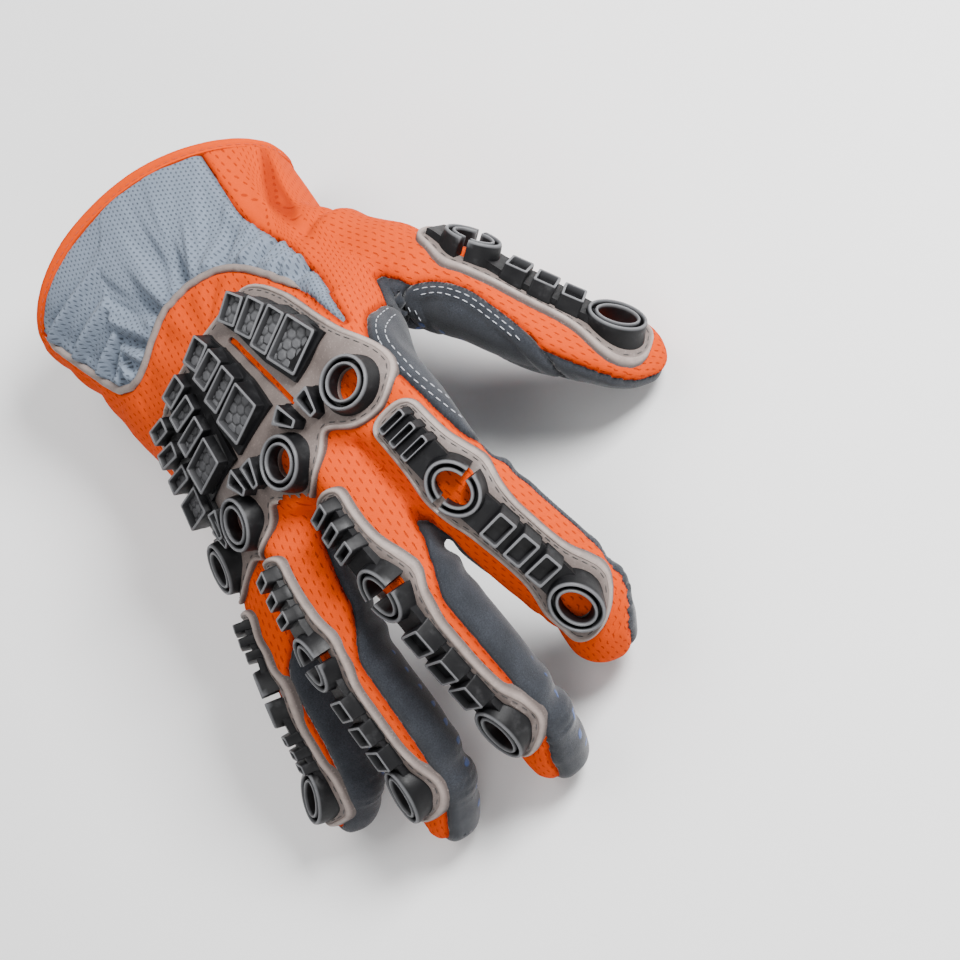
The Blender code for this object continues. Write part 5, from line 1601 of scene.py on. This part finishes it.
def taupe_look(colours, name="Taupe rubber"):
    """Taupe moulded rubber: darker below its lighter lip, with fine speckle and rubbed marks."""
    look = Look(name, 0.55, Specular_IOR_Level=0.30)
    point = look.point()
    rim = look.attribute("rim")
    grain = look.noise(point, 1900.0, 3.0)
    dust = look.noise(point, 260.0, 4.0, 0.65)
    shade = look.mix(rim, scaled(colours.taupe, 0.55), colours.lip)
    shade = look.mix(dust.step(0.35, 0.75) * 0.35, shade, scaled(colours.taupe, 0.5))
    shade = look.mix(grain.step(0.55, 0.75) * 0.3, shade, scaled(colours.lip, 1.15))
    rough = dust * 0.25 + 0.42
    return look.finish(shade, rough, bumps=((grain, 0.3, 0.00012),))


def thread_look(name, shade, roughness=0.6):
    """Sewing thread: its colour broken up by a fine twist."""
    look = Look(name, roughness, Sheen_Weight=0.2)
    twist = look.noise(look.point(), 2600.0, 2.0)
    return look.finish(look.mix(twist, scaled(shade, 0.6), scaled(shade, 1.2)), bumps=((twist, 0.4, 0.0001),))


class GLOVE_OT_looks(bpy.types.Operator):
    """Makes the materials."""
    bl_idname = "glove.looks"
    bl_label = "Materials"

    def execute(self, context):
        colours = context.scene.glove_colours
        STATE["looks"] = {
            "knit": knit_look(colours, "Orange knit"),
            "hem": knit_look(colours, "Orange hem", plain=True),
            "suede": suede_look(colours),
            "mesh": mesh_look(colours),
            "rubber": rubber_look(colours),
            "taupe": taupe_look(colours),
            "trim": taupe_look(colours, "Taupe piping"),
            "thread": thread_look("Dark thread", colours.thread),
            "light_thread": thread_look("Light thread", colours.light_thread),
            "orange_thread": thread_look("Orange thread", scaled(colours.orange, 0.8)),
        }
        return {"FINISHED"}


# Studio.
CAMERA_PLACE = (-0.19185, 0.35542, 0.66570)
CAMERA_RIGHT = (-0.7442, 0.4907, -0.4532)
CAMERA_UP = (-0.6245, -0.7519, 0.2113)
CAMERA_BACK = (-0.2370, 0.4402, 0.8660)


def area_light(name, direction, distance, size, power, tint=(1.0, 1.0, 1.0)):
    """A square soft light that looks at the glove's middle from a direction."""
    light = bpy.data.lights.new(name, "AREA")
    light.shape = "SQUARE"
    light.size = size
    light.energy = power
    light.color = tint
    made = bpy.data.objects.new(name, light)
    bpy.context.scene.collection.objects.link(made)
    direction = Vector(direction).normalized()
    made.location = direction * distance + Vector((0.0, 0.0, 0.03))
    made.rotation_euler = (-direction).to_track_quat("-Z", "Y").to_euler()


class GLOVE_OT_stage(bpy.types.Operator):
    """Makes the pale floor, the soft lights and the camera."""
    bl_idname = "glove.stage"
    bl_label = "Studio"

    def execute(self, context):
        mesh = bpy.data.meshes.new("floor")
        half = 3.0
        mesh.from_pydata([(-half, -half, 0), (half, -half, 0), (half, half, 0), (-half, half, 0)], [],
                         [(0, 1, 2, 3)])
        floor = bpy.data.objects.new("floor", mesh)
        context.scene.collection.objects.link(floor)
        look = Look("Pale floor", 0.9, Specular_IOR_Level=0.1)
        shade = look.mix(look.noise(look.point(), 6.0), (0.86, 0.86, 0.86), (0.88, 0.88, 0.88))
        mesh.materials.append(look.finish(shade))

        world = bpy.data.worlds.new("Studio")
        world.use_nodes = True
        world.node_tree.nodes["Background"].inputs["Color"].default_value = (1.0, 1.0, 1.0, 1.0)
        world.node_tree.nodes["Background"].inputs["Strength"].default_value = 0.36
        context.scene.world = world
        area_light("key", (-0.80, 0.05, 0.75), 0.75, 0.25, 14.0)
        area_light("top", (0.10, -0.45, 0.90), 0.80, 0.60, 5.0)
        area_light("front", (0.20, 0.85, 0.55), 0.85, 0.45, 3.0)

        camera = bpy.data.cameras.new("camera")
        camera.lens = 105.0
        camera.sensor_width = 36.0
        camera.clip_start = 0.01
        camera.clip_end = 20.0
        made = bpy.data.objects.new("camera", camera)
        context.scene.collection.objects.link(made)
        turn = Matrix((CAMERA_RIGHT, CAMERA_UP, CAMERA_BACK)).transposed()
        made.matrix_world = Matrix.Translation(CAMERA_PLACE) @ turn.to_4x4()
        context.scene.camera = made
        return {"FINISHED"}


class GLOVE_PT_panel(bpy.types.Panel):
    """Lists the glove's sizes, colours and steps."""
    bl_idname = "GLOVE_PT_panel"
    bl_label = "Impact glove"
    bl_space_type = "VIEW_3D"
    bl_region_type = "UI"
    bl_category = "Glove"

    def draw(self, context):
        for group in (context.scene.glove_sizes, context.scene.glove_colours):
            box = self.layout.box()
            for name in type(group).__annotations__:
                box.prop(group, name)
        for step_class in STEPS:
            self.layout.operator(step_class.bl_idname)


STEPS = (GLOVE_OT_looks, GLOVE_OT_cloth, GLOVE_OT_finger_guards, GLOVE_OT_knuckle_guard, GLOVE_OT_trim,
         GLOVE_OT_stage)
CLASSES = (GLOVE_sizes, GLOVE_colours, *STEPS, GLOVE_PT_panel)


def register():
    """Adds the classes and the scene's two groups of values."""
    for one in CLASSES:
        bpy.utils.register_class(one)
    bpy.types.Scene.glove_sizes = PointerProperty(type=GLOVE_sizes)
    bpy.types.Scene.glove_colours = PointerProperty(type=GLOVE_colours)


def unregister():
    """Takes them away again."""
    del bpy.types.Scene.glove_colours
    del bpy.types.Scene.glove_sizes
    for one in reversed(CLASSES):
        bpy.utils.unregister_class(one)


def main():
    """Builds the pieces in order."""
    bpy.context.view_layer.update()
    register()
    bpy.ops.glove.looks()
    bpy.ops.glove.cloth()
    bpy.ops.glove.finger_guards()
    bpy.ops.glove.knuckle_guard()
    bpy.ops.glove.trim()
    bpy.ops.glove.stage()


if __name__ == "__main__":
    main()
